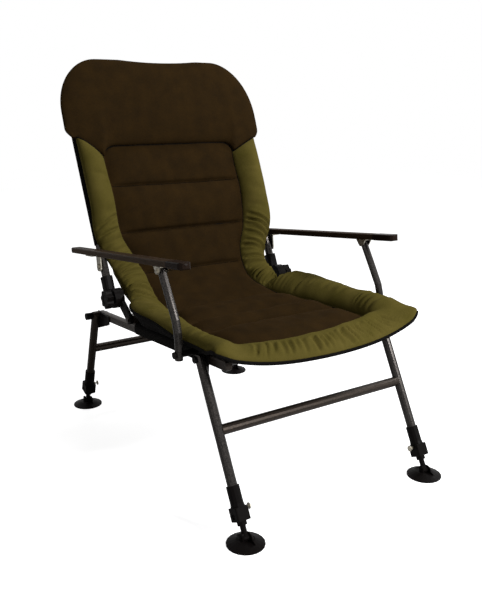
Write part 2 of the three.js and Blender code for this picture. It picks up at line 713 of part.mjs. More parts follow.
function armSupport(sign) {
  const points = supportShares.map(([across, along]) => new THREE.Vector3(
    sign * armX,
    across * support.length,
    along * support.length,
  ));
  const smooth = new THREE.CatmullRomCurve3(points).getPoints(points.length - 1);
  const tube = throughRoute(smooth, support.radius, support.radius - support.wall);
  const inner = supportInner - overrun;
  const outer = supportOuter + overrun;
  const { length } = support;
  const low = block(sign * inner, sign * outer, -length, length, -length, length);
  const tip = crossRod(sign, inner, outer, 0, support.length, support.radius);
  const holes = [
    crossRod(sign, inner, outer, 0, 0, pin.radius + play),
    crossRod(sign, inner, outer, 0, support.length, bracket.pinRadius + play),
  ];
  return cut(tube.intersect(join(low, tip)), ...holes);
}

// Legs, drawn in axes whose Z runs up the leg from the foot to the pivot

function legPlan(pivotY, pivotZ, footY, reach) {
  const length = Math.hypot(footY - pivotY, pivotZ - feet.pinHeight);
  const angle = Math.atan2(footY - pivotY, pivotZ - feet.pinHeight);
  const lockTop = lock.reach - length;
  const boxTop = lockTop - lock.sleeveLength;
  return {
    frame: { y: pivotY, z: pivotZ, angle }, footY, length, crossbarZ: -reach,
    lockTop, boxTop, boxLow: boxTop - lock.boxLength,
  };
}

const legPlans = {
  front: legPlan(frontPivot.y, frontPivotZ, -feet.halfLength, crossbar.frontReach),
  rear: legPlan(rearPivot.y, rearPivotZ, feet.halfLength, crossbar.rearReach),
};

function legTube(sign, plan) {
  const x = sign * legX;
  const low = plan.lockTop - lock.seat;
  const outer = post(x, 0, low, leg.radius, leg.radius);
  const top = join(
    block(x - leg.radius, x + leg.radius, -leg.radius, leg.radius, low, 0),
    crossRod(sign, legInner, legOuter, 0, 0, leg.radius, ring),
  );
  const bore = post(x, 0, low - overrun, -leg.boreStop, leg.radius - leg.wall);
  const hole = crossRod(sign, legInner - overrun, legOuter + overrun, 0, 0, pin.radius + play);
  return cut(outer.intersect(top), bore, hole);
}

function legCrossbar(plan) {
  const reach = legX - leg.radius / 2;
  const outer = crossRod(1, -reach, reach, 0, plan.crossbarZ, crossbar.radius, ring);
  const boreRadius = crossbar.radius - crossbar.wall;
  const bore = crossRod(1, -reach - overrun, reach + overrun, 0, plan.crossbarZ, boreRadius, ring);
  const saddles = sides.map(({ sign }) => post(
    sign * legX, 0, plan.crossbarZ - 2 * leg.radius, plan.crossbarZ + 2 * leg.radius, leg.radius + gap,
  ));
  return cut(outer, bore, ...saddles);
}

function legLock(sign, plan) {
  const x = sign * legX;
  const sleeve = post(x, 0, plan.boxTop - gap, plan.lockTop, lock.sleeveRadius);
  const box = roundedPost(x, 0, lock.boxWidth, lock.boxDepth, plan.boxLow, plan.boxTop - lock.shoulder / 2,
    lock.boxRadius);
  const shoulder = post(x, 0, plan.boxTop - lock.shoulder / 2, plan.boxTop + lock.shoulder / 2,
    lock.boxWidth / 2, lock.sleeveRadius);
  const legBore = post(x, 0, plan.lockTop - lock.seat - gap, plan.lockTop + overrun, leg.radius + gap);
  const bore = post(x, 0, plan.boxLow - overrun, plan.lockTop, extension.radius + play);
  const inner = legX - lock.boxWidth / 2 - overrun;
  const pinZ = plan.boxLow + lockPin.height;
  const pinBore = crossRod(sign, inner, legX, 0, pinZ, lockPin.radius + play, thinFacets);
  const face = legX + lock.boxWidth / 2;
  const recessZ = plan.boxLow + lock.recessHeight;
  const recess = crossRod(sign, face - lock.recessDepth, face + overrun, 0, recessZ, lock.recessRadius);
  const screwEnd = face - lock.recessDepth / 2;
  const screwStart = face - lock.recessDepth - gap;
  const screw = crossRod(sign, screwStart, screwEnd, 0, recessZ, lock.recessRadius / 2, hexagon);
  return join(cut(join(sleeve, box, shoulder), legBore, bore, pinBore, recess), screw);
}

function legExtension(sign, plan) {
  const x = sign * legX;
  const collarTop = plan.boxLow - gap;
  const collarLow = collarTop - extension.collarLength;
  const tube = cut(
    post(x, 0, collarLow, plan.boxLow + extension.length, extension.radius),
    post(x, 0, collarTop, plan.boxLow + extension.length + overrun, extension.radius - extension.wall),
  );
  const collar = post(x, 0, collarLow, collarTop, extension.collarRadius);
  const stub = post(x, 0, -plan.length, collarLow + gap, extension.stubRadius);
  const { stubRadius, eyeRadius, pinRadius } = extension;
  const eye = crossRod(sign, legX - stubRadius, legX + stubRadius, 0, -plan.length, eyeRadius);
  const hole = crossRod(sign, legX - leg.radius, legX + leg.radius, 0, -plan.length, pinRadius + play);
  return cut(join(tube, collar, stub, eye), hole);
}

// The spring pin that stops a leg extension, with its pull ring on the inner side
function lockPinPiece(sign, plan) {
  const z = plan.boxLow + lockPin.height;
  const tip = legX - extension.radius - lockPin.tipGap;
  const face = legX - lock.boxWidth / 2 - gap;
  const end = tip - lockPin.length;
  const shank = crossRod(sign, end, tip, 0, z, lockPin.radius, thinFacets);
  const collar = crossRod(sign, face - lockPin.collarLength, face, 0, z, lockPin.collarRadius);
  const pull = crossRod(sign, end, end + lockPin.ringThickness, 0, z, lockPin.ringRadius);
  return join(shank, collar, pull);
}

// A foot with a domed disc and a slotted hub, drawn from the middle of its pin
function mudFootPiece(sign) {
  const x = sign * legX;
  const ground = -feet.pinHeight;
  const profile = [
    [0, ground],
    [mudFoot.radius, ground],
    [mudFoot.radius, ground + mudFoot.rim],
    [mudFoot.shoulderRadius, ground + mudFoot.skirtHeight / 2],
    [mudFoot.domeRadius, ground + mudFoot.skirtHeight],
    [0, ground + mudFoot.skirtHeight + mudFoot.rim / 2],
  ].map(([radius, height]) => new THREE.Vector2(radius, height));
  const skirt = new THREE.LatheGeometry(profile, footFacets);
  skirt.rotateX(Math.PI / 2);
  const disc = toSolid(skirt).translate([x, 0, 0]);
  const hubRadius = mudFoot.domeHeight - mudFoot.skirtHeight + mudFoot.rim;
  const sphere = toSolid(new THREE.SphereGeometry(hubRadius, pinFacets, thinFacets));
  const hub = sphere.translate([x, 0, ground + mudFoot.skirtHeight]);
  const half = mudFoot.domeRadius + overrun;
  const slotLow = -extension.eyeRadius - 2 * play;
  const dome = hub.intersect(block(x + mudFoot.slotHalf, x + half, -half, half, ground + mudFoot.rim, half));
  const ear = sidePlate(1, x - mudFoot.slotHalf - mudFoot.earThickness, x - mudFoot.slotHalf, roundedShape([
    [-mudFoot.earWidth / 2, ground + mudFoot.rim],
    [mudFoot.earWidth / 2, ground + mudFoot.rim],
    [mudFoot.earWidth / 3, ground + mudFoot.earHeight],
    [-mudFoot.earWidth / 3, ground + mudFoot.earHeight],
  ], mudFoot.earThickness));
  const slot = block(x - mudFoot.slotHalf, x + mudFoot.slotHalf, -half, half, slotLow, half);
  const pinEnd = x + mudFoot.slotHalf + mudFoot.earThickness / 2;
  const pinStart = x - mudFoot.slotHalf - mudFoot.earThickness - mudFoot.pinHeadLength;
  const axle = crossRod(1, pinStart, pinEnd, 0, 0, extension.pinRadius, boltFacets);
  const headEnd = pinStart + 2 * mudFoot.pinHeadLength;
  const head = crossRod(1, pinStart, headEnd, 0, 0, mudFoot.pinHead, boltFacets);
  return join(cut(join(disc, dome, ear), slot), axle, head);
}

// Mattress

const seatPlaces = seatBandShares.map(({ along, lift }) => {
  const y = THREE.MathUtils.lerp(mattress.frontY, recliner.y, along);
  return new THREE.Vector3(0, y, railTop(y) + lift * mattress.lift);
});
const backPlaces = backBandShares.map(({ up, forward }) => {
  const across = back.tubeOffset - forward * mattress.forward;
  const [y, z] = outOf(backFrame, [across, up * back.topReach]);
  return new THREE.Vector3(0, y, z);
});
const edgeCurve = new THREE.CatmullRomCurve3([...seatPlaces, ...backPlaces]);
const lastBand = bands.length - 1;

// The sewn edge at a place counted in bands: where it is, and which way the sitting side faces
function edgeAt(place) {
  const t = Math.min(Math.max(place / lastBand, 0), 1);
  const point = edgeCurve.getPoint(t);
  const tangent = edgeCurve.getTangent(t);
  return { y: point.y, z: point.z, normalY: -tangent.z, normalZ: tangent.y };
}

function bandValue(place, key) {
  const low = Math.min(Math.floor(place), lastBand - 1);
  return THREE.MathUtils.lerp(bands[low][key], bands[low + 1][key], place - low);
}

// The place on the back at a height, found by halving
const halvings = 30;

function placeAtHeight(z) {
  let low = lastBand / 2;
  let high = lastBand;
  for (let i = 0; i < halvings; i += 1) {
    const middle = (low + high) / 2;
    if (edgeAt(middle).z < z) {
      low = middle;
    } else {
      high = middle;
    }
  }
  return low;
}

const swell = (share, power) => Math.max(4 * share * (1 - share), 0) ** power;
const limited = share => Math.min(Math.max(share, 0), 1);
const frontSeamShare = 2;

// How far along the drooping front edge lies below the side edge
const frontDrop = across => mattress.droop * (1 - across ** 3);

// The sitting side of the mattress
function topPoint(place, x, fill, pinch) {
  const edge = edgeAt(place);
  const half = bandValue(place, "half");
  const seam = bandValue(place, "seam");
  const dip = bandValue(place, "dip");
  const across = Math.abs(x) / half;
  const sideReach = limited((Math.abs(x) - seam) / (half - seam));
  const frontReach = limited((frontSeamShare - place) / frontSeamShare);
  const reach = Math.max(sideReach, frontReach);
  const bulge = mattress.crown + (dip - mattress.edge) / 2;
  let height = THREE.MathUtils.lerp(-dip, mattress.edge, reach) + bulge * pinch * swell(reach, 0.7);
  if (reach === 0) {
    height += mattress.channelCrown * swell(fill, 0.6) * (1 - (Math.abs(x) / seam) ** 6);
  }
  if (frontReach > 0) {
    return frontPoint(Math.sign(x) * across, frontReach, sideReach, height);
  }
  return [x, edge.y + edge.normalY * height, edge.z + edge.normalZ * height];
}

const frontSeam = edgeAt(frontSeamShare);

function frontY(across) {
  const inward = edges.front * (1 - across);
  const corner = limited(1 - inward / mattress.cornerWidth);
  return mattress.frontY - mattress.frontBow * (1 - across ** 1.5) + mattress.cornerBow * corner ** 2.5;
}

function frontPoint(signedAcross, frontReach, sideReach, height) {
  const across = Math.abs(signedAcross);
  const share = THREE.MathUtils.smoothstep(frontReach - sideReach, -0.3, 0.3);
  const x = signedAcross * THREE.MathUtils.lerp(edges.seat, edges.front, frontReach);
  const y = THREE.MathUtils.lerp(frontSeam.y, frontY(across), frontReach);
  return [x, y, frontSeam.z + height - share * frontReach * frontDrop(across)];
}

const sleeveRadius = back.tubeRadius + gap + back.panelThickness;

// How far behind the edge the back tubes' middle plane lies
function tubeDepth(edge) {
  const [across] = into(backFrame, [edge.y, edge.z]);
  const [normalAcross] = turned([edge.normalY, edge.normalZ], -backFrame.angle);
  return (across - back.tubeOffset) / normalAcross;
}

// The underside lies on the slung cloth and keeps clear of the rails
function seatUnderside(place, x, y) {
  const edge = edgeAt(place);
  const across = Math.abs(x) / rail.halfSpan;
  const carried = railTop(y) + gap + sling.thickness + softGap - sling.sag * Math.max(1 - across ** 2, 0);
  const level = Math.max(carried, edge.z - bandValue(place, "under"));
  const clearX = railOuter + gap + sling.thickness + softGap;
  const outward = limited((Math.abs(x) - clearX) / (bandValue(place, "half") - clearX));
  return THREE.MathUtils.lerp(level, edge.z - mattress.edge, outward);
}

// The underside leaves the front tube and the sewn edge at these shares of the way out
const tubeShare = 0.35;
const taperShare = 0.8;

function underPoint(place, x) {
  const edge = edgeAt(place);
  const half = bandValue(place, "half");
  const seam = bandValue(place, "seam");
  const frontReach = limited((frontSeamShare - place) / frontSeamShare);
  if (frontReach > 0) {
    const across = Math.abs(x) / half;
    const [frontX, y] = frontPoint(Math.sign(x) * across, frontReach, 0, 0);
    const overTube = limited((frontReach - tubeShare) / (1 - tubeShare));
    const lip = frontSeam.z - frontReach * frontDrop(across) - mattress.edge;
    const z = THREE.MathUtils.lerp(seatUnderside(place, x, y), lip, overTube ** 1.2);
    return [frontX, y, z];
  }
  if (place <= seatEndShare) {
    return [x, edge.y, seatUnderside(place, x, edge.y)];
  }
  let under = bandValue(place, "under");
  if (place > waistShare) {
    const depth = tubeDepth(edge);
    const inner = backTubeX - sleeveRadius;
    const approach = 2 * back.tubeRadius;
    const beside = limited((Math.abs(x) - inner + approach) / (approach - back.panelThickness));
    const sheet = depth - back.panelThickness / 2 - softGap;
    const tube = depth - sleeveRadius - 2 * softGap;
    under = Math.min(THREE.MathUtils.lerp(sheet, tube, beside), under);
  }
  const reach = limited((Math.abs(x) - seam) / (half - seam));
  const taper = limited((reach - taperShare) / (1 - taperShare)) ** 1.5;
  const depthHere = THREE.MathUtils.lerp(under, mattress.edge, taper);
  return [x, edge.y - edge.normalY * depthHere, edge.z - edge.normalZ * depthHere];
}

// A body closed between a top grid and a bottom grid of points
function paddedBody(top, bottom) {
  const rows = top.length;
  const columns = top[0].length;
  const positions = [...top.flat(), ...bottom.flat()].flat();
  const above = (row, column) => row * columns + column;
  const below = (row, column) => rows * columns + row * columns + column;
  const triangles = [];
  const quad = (a, b, c, d) => triangles.push(a, b, c, a, c, d);
  for (let row = 0; row < rows - 1; row += 1) {
    for (let column = 0; column < columns - 1; column += 1) {
      quad(above(row, column), above(row, column + 1), above(row + 1, column + 1), above(row + 1, column));
      quad(below(row, column), below(row + 1, column), below(row + 1, column + 1), below(row, column + 1));
    }
    const last = columns - 1;
    quad(below(row, 0), above(row, 0), above(row + 1, 0), below(row + 1, 0));
    quad(above(row, last), below(row, last), below(row + 1, last), above(row + 1, last));
  }
  for (let column = 0; column < columns - 1; column += 1) {
    const end = rows - 1;
    quad(below(0, column), below(0, column + 1), above(0, column + 1), above(0, column));
    quad(above(end, column), above(end, column + 1), below(end, column + 1), below(end, column));
  }
  const geometry = new THREE.BufferGeometry();
  geometry.setAttribute("position", new THREE.Float32BufferAttribute(positions, 3));
  geometry.setIndex(triangles);
  return toSolid(geometry);
}

const centreShares = [0, 0.42, 0.78];
const bolsterShares = [0, 0.16, 0.38, 0.62, 0.85, 1];

function columnsAt(place) {
  const seam = bandValue(place, "seam");
  const half = bandValue(place, "half");
  const right = [
    ...centreShares.map(share => share * seam),
    ...bolsterShares.map(share => THREE.MathUtils.lerp(seam, half, share)),
  ];
  const left = right.slice(1).reverse().map(x => -x);
  return [...left, ...right];
}

function quiltedBody(rows) {
  const top = [];
  const bottom = [];
  for (const row of rows) {
    const columns = columnsAt(row.place);
    const bend = x => row.place + (row.rise ? row.rise(x) : 0);
    top.push(columns.map(x => topPoint(bend(x), x, row.fill, row.pinch ?? 1)));
    bottom.push(columns.map(x => underPoint(bend(x), x)));
  }
  return paddedBody(top, bottom);
}

// Places of the channel seams and of the cushions' ends. They count bands: 5.3 is a share of 0.3
// of the way from band 5 to band 6.
const seatSeamShares = [2, 3, 4, 5];
const seatEndShare = 5.3;
const waistShare = 9.8;
const lumbarSeamShares = [5, 9.15, 11];
const lumbarRowShares = [5.8, 6.4, 7, 7.6, 8.2, 8.7];
const backSeamShares = [11, 12.55];
const headSeamPlace = placeAtHeight(mattress.headSeamHeight);
const fillShares = [0.25, 0.5, 0.75, 1];
const frontRowShares = [0, 0.2, 0.55, 1, 1.5, 2];

// A step along the edge as long as the gap between two cushions
function gapStep(place) {
  const here = edgeAt(place);
  const there = edgeAt(place + 0.1);
  return 0.1 * softGap / Math.hypot(there.y - here.y, there.z - here.z);
}

const channel = (from, to) => fillShares.map(fill => ({ place: THREE.MathUtils.lerp(from, to, fill), fill }));
const inChannel = (place, from, to) => ({ place, fill: (place - from) / (to - from) });

function seatCushion() {
  const frontRows = frontRowShares.map(place => ({ place, fill: 0 }));
  const channels = seatSeamShares.slice(1).flatMap((seam, i) => channel(seatSeamShares[i], seam));
  const [low, high] = lumbarSeamShares;
  return quiltedBody([...frontRows, ...channels, inChannel(seatEndShare, low, high)]);
}

function lumbarCushion() {
  const start = seatEndShare + gapStep(seatEndShare);
  const [low, middle, high] = lumbarSeamShares;
  const rows = [start, ...lumbarRowShares].map(place => inChannel(place, low, middle));
  return quiltedBody([...rows, { place: middle, fill: 0 }, ...channel(middle, high)]);
}

const headSeamHalf = rail.halfSpan - mattress.headSeamInset;
const headHalf = rail.halfSpan + mattress.headReach;
const headFoot = rail.halfSpan + mattress.headFootReach;

function headSeamHeight(x) {
  const outward = limited((Math.abs(x) - headSeamHalf) / (edges.back - headSeamHalf));
  return mattress.headSeamHeight + mattress.headSeamRise * outward;
}

function backCushion() {
  const start = lumbarSeamShares[2] + gapStep(lumbarSeamShares[2]);
  const lower = [{ place: start, fill: 0 }, ...channel(backSeamShares[0], backSeamShares[1])];
  const upper = channel(backSeamShares[1], headSeamPlace).map(row => ({
    ...row,
    rise: x => row.fill * (placeAtHeight(headSeamHeight(x)) - headSeamPlace),
    pinch: 1 - 0.55 * row.fill ** 6,
  }));
  return quiltedBody([...lower, ...upper]);
}

// The headrest pillow, from its seam to the rounded top
function headPoint(u, share, front) {
  const widen = Math.sin(limited(share / 0.35) * Math.PI / 2);
  const x = u * THREE.MathUtils.lerp(headFoot, headHalf, widen);
  const low = headSeamHeight(u * headFoot) + 3 * softGap;
  const dip = mattress.headDip * Math.max(1 - (2.5 * u) ** 2, 0);
  const corner = 1 - Math.max(1 - u ** 4, 0) ** 0.6;
  const high = mattress.headTop - dip - mattress.headCornerDrop * corner;
  const place = placeAtHeight(THREE.MathUtils.lerp(low, high, share));
  const edge = edgeAt(place);
  const pad = Math.max(1 - Math.abs(u) ** 3.2, 0) ** 0.55;
  let height;
  if (front) {
    const seam = THREE.MathUtils.lerp(-bandValue(headSeamPlace, "dip"), mattress.edge, u ** 4);
    const base = THREE.MathUtils.lerp(seam, mattress.edge, share);
    height = base + mattress.headCrown * pad * swell(share ** 0.8, 0.5);
  } else {
    const deep = Math.min(tubeDepth(edge) - back.tubeRadius - softGap, mattress.headBack);
    height = -THREE.MathUtils.lerp(mattress.edge, deep, pad * (1 - share ** 6));
  }
  return [x, edge.y + edge.normalY * height, edge.z + edge.normalZ * height];
}

function headrestCushion() {
  const columns = 9;
  const rowShares = [0, 0.05, 0.13, 0.24, 0.36, 0.5, 0.63, 0.75, 0.85, 0.93, 0.98, 1];
  const spread = Array.from({ length: 2 * columns + 1 }, (_, i) => Math.sin((i / columns - 1) * Math.PI / 2));
  const grid = front => rowShares.map(share => spread.map(u => headPoint(u, share, front)));
  return paddedBody(grid(true), grid(false));
}

// Assembly

const chair = new THREE.Group();
chair.name = "carp_fishing_chair";

const seatGroup = frameGroup(railFrame);
const hingeGroup = frameGroup({ y: recliner.y, z: hingeZ, angle: 0 });
const backGroup = frameGroup(backFrame);
const armGroup = frameGroup(armFrame);
const supportGroup = frameGroup(supportFrame);
chair.add(seatGroup, hingeGroup, backGroup, armGroup, supportGroup);

seatGroup.add(
  toMesh("seat_front_tube", crossTube(frontTube.y, 0, frontTube.radius, frontTube.wall), hammered),
  toMesh("seat_rear_tube", crossTube(rearTube.y, -rearTube.drop, rearTube.radius, rearTube.wall), hammered),
  toMesh("seat_sling", seatSling(), blackCloth),
);
backGroup.add(
  toMesh("back_top_tube", backTopTube(), hammered),
  toMesh("back_panel", backPanel(), blackCloth),
);
chair.add(
  toMesh("seat_cushion", seatCushion(), fleece),
  toMesh("lumbar_cushion", lumbarCushion(), oliveCloth),
  toMesh("back_cushion", backCushion(), fleece),
  toMesh("headrest_cushion", headrestCushion(), fleece),
);

for (const { letter, sign } of sides) {
  seatGroup.add(toMesh(`seat_rail_${letter}`, seatRail(sign), brownMetal));
  chair.add(
    toMesh(`front_gusset_${letter}`, frontGusset(sign), zinc),
    toMesh(`rear_gusset_${letter}`, rearGusset(sign), zinc),
    toMesh(`rear_pivot_cap_${letter}`, rearPivotCap(sign), blackPlastic),
    toMesh(`recliner_base_${letter}`, reclinerBase(sign), blackPlastic),
  );
  hingeGroup.add(toMesh(`recliner_knob_${letter}`, reclinerKnob(sign), blackPlastic));
  backGroup.add(
    toMesh(`recliner_arm_${letter}`, reclinerArm(sign), blackPlastic),
    toMesh(`back_tube_${letter}`, backTube(sign), hammered),
  );
  supportGroup.add(toMesh(`arm_support_${letter}`, armSupport(sign), hammered));
  armGroup.add(
    toMesh(`armrest_plank_${letter}`, armPlank(sign), mouldedPlastic),
    toMesh(`armrest_front_cap_${letter}`, frontArmCap(sign), darkCap),
    toMesh(`armrest_rear_cap_${letter}`, rearArmCap(sign), darkCap),
    toMesh(`armrest_front_bracket_${letter}`, frontBracket(sign), zinc),
    toMesh(`armrest_rear_bracket_${letter}`, rearBracketPiece(sign), zinc),
  );
}

for (const [end, plan] of Object.entries(legPlans)) {
  const legGroup = frameGroup(plan.frame);
  const footGroup = new THREE.Group();
  footGroup.position.set(0, plan.footY, feet.pinHeight);
  chair.add(legGroup, footGroup);
  const metal = end === "front" ? hammered : brownMetal;
  legGroup.add(toMesh(`${end}_crossbar`, legCrossbar(plan), metal));
  for (const { letter, sign } of sides) {
    legGroup.add(
      toMesh(`${end}_leg_${letter}`, legTube(sign, plan), metal),
      toMesh(`leg_lock_${end}_${letter}`, legLock(sign, plan), blackPlastic),
      toMesh(`leg_extension_${end}_${letter}`, legExtension(sign, plan), blackPlastic),
      toMesh(`lock_pin_${end}_${letter}`, lockPinPiece(sign, plan), zinc),
    );
    footGroup.add(toMesh(`mud_foot_${end}_${letter}`, mudFootPiece(sign), blackPlastic));
  }
}

export default chair;
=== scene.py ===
# %% [markdown]
# # A folding carp fishing chair
#
# The chair has a steel frame that a drawing program made before: tubes, plates, hinges and
# feet. They come in as a fixed frame, and this lesson dresses them. It gives each metal and
# plastic its finish, sews the quilted mattress, and adds the cloths, piping and binding.
# Everything is in metres. X goes across the chair, -Y is its front and Z is up.

# %% Load the frame
import math
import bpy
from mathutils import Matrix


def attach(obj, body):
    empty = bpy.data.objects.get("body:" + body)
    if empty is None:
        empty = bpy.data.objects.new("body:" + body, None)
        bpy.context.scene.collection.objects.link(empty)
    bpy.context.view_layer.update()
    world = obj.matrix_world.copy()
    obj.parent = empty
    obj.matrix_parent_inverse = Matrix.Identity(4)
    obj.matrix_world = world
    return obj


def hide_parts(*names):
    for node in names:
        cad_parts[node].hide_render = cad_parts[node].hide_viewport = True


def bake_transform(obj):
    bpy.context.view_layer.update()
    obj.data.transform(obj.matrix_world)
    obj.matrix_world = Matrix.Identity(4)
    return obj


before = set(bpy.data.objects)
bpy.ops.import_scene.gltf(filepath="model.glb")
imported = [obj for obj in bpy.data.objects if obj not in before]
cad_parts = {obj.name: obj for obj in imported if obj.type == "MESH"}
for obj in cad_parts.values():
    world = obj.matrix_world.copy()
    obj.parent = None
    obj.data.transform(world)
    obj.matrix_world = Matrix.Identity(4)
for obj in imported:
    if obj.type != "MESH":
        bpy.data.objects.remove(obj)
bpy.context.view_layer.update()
print("frame pieces:", len(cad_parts))

# %% Tools for meshes
import bpy
import numpy as np
from mathutils import Vector

MM = 0.001
SEED = 11
chance = np.random.default_rng(SEED)
scene = bpy.context.scene


def grid_faces(index):
    """One four-sided face for each cell of a grid of vertex numbers."""
    corners = [index[:-1, :-1], index[:-1, 1:], index[1:, 1:], index[1:, :-1]]
    return np.stack(corners, -1).reshape(-1, 4)


def add_piece(name, points, faces, materials):
    mesh = bpy.data.meshes.new(name)
    mesh.from_pydata(points, [], faces)
    for material in materials:
        mesh.materials.append(material)
    mesh.polygons.foreach_set("use_smooth", np.ones(len(faces), bool))
    piece = bpy.data.objects.new(name, mesh)
    scene.collection.objects.link(piece)
    return piece


print("a millimetre is", MM, "m")

# %% [markdown]
# ## The picture
#
# The chair is seen from the front left, from a little below its top. The lens is a normal
# one, 43.5 mm long for a picture 36 mm high.

# %% Camera
EYE = (-976.5 * MM, -1508.8 * MM, 868.4 * MM)
TURN = math.radians(33.3)
TILT = math.radians(15.2)

camera_data = bpy.data.cameras.new("camera")
camera_data.lens = 43.5
camera_data.sensor_width = 36
camera_data.shift_x = -0.0028
camera = bpy.data.objects.new("camera", camera_data)
camera.location = EYE
camera.rotation_euler = (math.pi / 2 - TILT, 0, -TURN)
scene.collection.objects.link(camera)
scene.camera = camera
scene.view_settings.view_transform = "Standard"
print("camera at", EYE)

# %% [markdown]
# ## Colours and nodes
#
# Colours are easier to judge as they look on a screen, so they are written as hex values,
# and one function turns them to the linear values that the renderer adds up.
# Another puts a node in a material, with its settings and its links. The rest are short
# forms of it for the noise, colour ramps, ranges and bumps that most finishes share.

# %% Colour and node helpers
def linear(hex_colour):
    channels = [int(hex_colour[i : i + 2], 16) / 255 for i in (1, 3, 5)]
    curved = [c / 12.92 if c <= 0.04045 else ((c + 0.055) / 1.055) ** 2.4 for c in channels]
    return (*curved, 1.0)


def add_node(tree, kind, settings=None, values=None, links=None):
    node = tree.nodes.new(kind)
    for name, value in (settings or {}).items():
        setattr(node, name, value)
    for name, value in (values or {}).items():
        node.inputs[name].default_value = value
    for name, source in (links or {}).items():
        tree.links.new(source, node.inputs[name])
    return node


def start_finish(name, hex_colour, roughness, metallic=0.0):
    material = bpy.data.materials.new(name)
    material.use_nodes = True
    shader = material.node_tree.nodes["Principled BSDF"]
    shader.inputs["Base Color"].default_value = linear(hex_colour)
    shader.inputs["Roughness"].default_value = roughness
    shader.inputs["Metallic"].default_value = metallic
    return material, material.node_tree, shader


def add_noise(tree, place, size_mm, detail):
    values = {"Scale": 1 / (size_mm * MM), "Detail": detail}
    return add_node(tree, "ShaderNodeTexNoise", values=values, links={"Vector": place}).outputs["Fac"]


def add_ramp(tree, source, first, last, start=0.0, end=1.0):
    ramp = add_node(tree, "ShaderNodeValToRGB", links={"Fac": source})
    for i, (position, colour) in enumerate(((start, first), (end, last))):
        ramp.color_ramp.elements[i].position = position
        ramp.color_ramp.elements[i].color = linear(colour)
    return ramp.outputs["Color"]


def add_range(tree, source, **limits):
    values = {name.replace("_", " "): value for name, value in limits.items()}
    return add_node(tree, "ShaderNodeMapRange", values=values, links={"Value": source}).outputs["Result"]


def add_relief(tree, height, strength, depth_mm, invert=False):
    values = {"Strength": strength, "Distance": depth_mm * MM}
    bump = add_node(tree, "ShaderNodeBump", {"invert": invert}, values, {"Height": height})
    return bump.outputs["Normal"]


def join_up(tree, shader, sources):
    for name, source in sources.items():
        tree.links.new(source, shader.inputs[name])


print("hex #808080 is linear", round(linear("#808080")[0], 3))

# %% [markdown]
# ## Hammered paint
#
# The tubes are steel with hammered paint. Aluminium flake in the lacquer draws up into
# cells about 2 mm wide, with darker valleys between them. Light breaks on each cell,
# so a tube shows a crisp, slightly broken highlight. Cells come from a Voronoi pattern.

# %% Hammered steel
def hammered_paint(name, valley, crown, cell_mm, roughness, metallic):
    material, tree, shader = start_finish(name, crown, roughness, metallic)
    place = add_node(tree, "ShaderNodeTexCoord").outputs["Object"]
    wander = add_noise(tree, place, cell_mm * 2, 3.0)
    cells = add_node(
        tree, "ShaderNodeTexVoronoi", {"feature": "SMOOTH_F1"},
        {"Scale": 1 / (cell_mm * MM), "Smoothness": 0.6}, {"Vector": place},
    ).outputs["Distance"]
    join_up(tree, shader, {
        "Base Color": add_ramp(tree, cells, crown, valley, 0.15, 0.75),
        "Roughness": add_range(tree, wander, To_Min=roughness - 0.1, To_Max=roughness + 0.14),
        "Normal": add_relief(tree, cells, 0.22, 0.12, invert=True),
    })
    return material


hammered_anthracite = hammered_paint("hammered_anthracite_paint", "#1f1d1c", "#3d3936", 2.2, 0.27, 0.8)
hammered_umber = hammered_paint("hammered_umber_paint", "#1c1611", "#352c24", 2.2, 0.38, 0.7)
print("hammered paints ready")

# %% [markdown]
# ## Zinc, black plastic and the armrest mouldings
#
# The armrests' brackets and the lock pins are zinc-plated steel: bright, slightly yellow, and
# mottled where the plating is thicker. Hinges, knobs, locks, leg ends and feet are nylon with
# a fine spark-eroded grain. The gussets have satin black paint with a grain like it. The
# armrests are a brown polymer, extruded in planks, so faint lines run along them. Their end
# caps are a darker, smoother moulding.

# %% Zinc plating
def zinc_plate():
    material, tree, shader = start_finish("zinc_plated_steel", "#b9b3a4", 0.32, 1.0)
    place = add_node(tree, "ShaderNodeTexCoord").outputs["Object"]
    mottle = add_noise(tree, place, 6, 5.0)
    join_up(tree, shader, {
        "Base Color": add_ramp(tree, mottle, "#8f897c", "#c9c4b6", 0.35, 0.7),
        "Roughness": add_range(tree, mottle, To_Min=0.22, To_Max=0.45),
    })
    return material


zinc = zinc_plate()
print("zinc ready")


# %% Moulded plastics
# The backdrop is white on all sides, so the usual level of 0.5 would turn black plastic
# and cloth grey. These lower levels keep them dark.
PLASTIC_SPECULAR, NAP_SPECULAR, WEAVE_SPECULAR = 0.035, 0.02, 0.03
POLYMER_IOR = 1.53


def moulded_plastic(name, dark, pale, grain_mm, roughness, depth_mm, stretch=(1, 1, 1)):
    material, tree, shader = start_finish(name, pale, roughness)
    shader.inputs["IOR"].default_value = POLYMER_IOR
    shader.inputs["Specular IOR Level"].default_value = PLASTIC_SPECULAR
    place = add_node(tree, "ShaderNodeTexCoord").outputs["Object"]
    laid = add_node(tree, "ShaderNodeMapping", values={"Scale": stretch}, links={"Vector": place})
    grain = add_noise(tree, laid.outputs["Vector"], grain_mm, 6.0)
    join_up(tree, shader, {
        "Base Color": add_ramp(tree, grain, dark, pale, 0.3, 0.7),
        "Roughness": add_range(tree, grain, To_Min=roughness - 0.08, To_Max=roughness + 0.12),
        "Normal": add_relief(tree, grain, 0.35, depth_mm),
    })
    return material


black_nylon = moulded_plastic("black_nylon", "#0a0808", "#141110", 1.1, 0.42, 0.12)
plank_polymer = moulded_plastic(
    "brown_plank_polymer", "#2e241a", "#433427", 2.2, 0.45, 0.1, stretch=(1, 0.06, 1),
)
cap_polymer = moulded_plastic("dark_cap_polymer", "#18110d", "#281d17", 1.8, 0.3, 0.06)
satin_black_steel = moulded_plastic("satin_black_paint", "#100e0e", "#1d1a19", 1.6, 0.38, 0.08)
print("plastics ready")

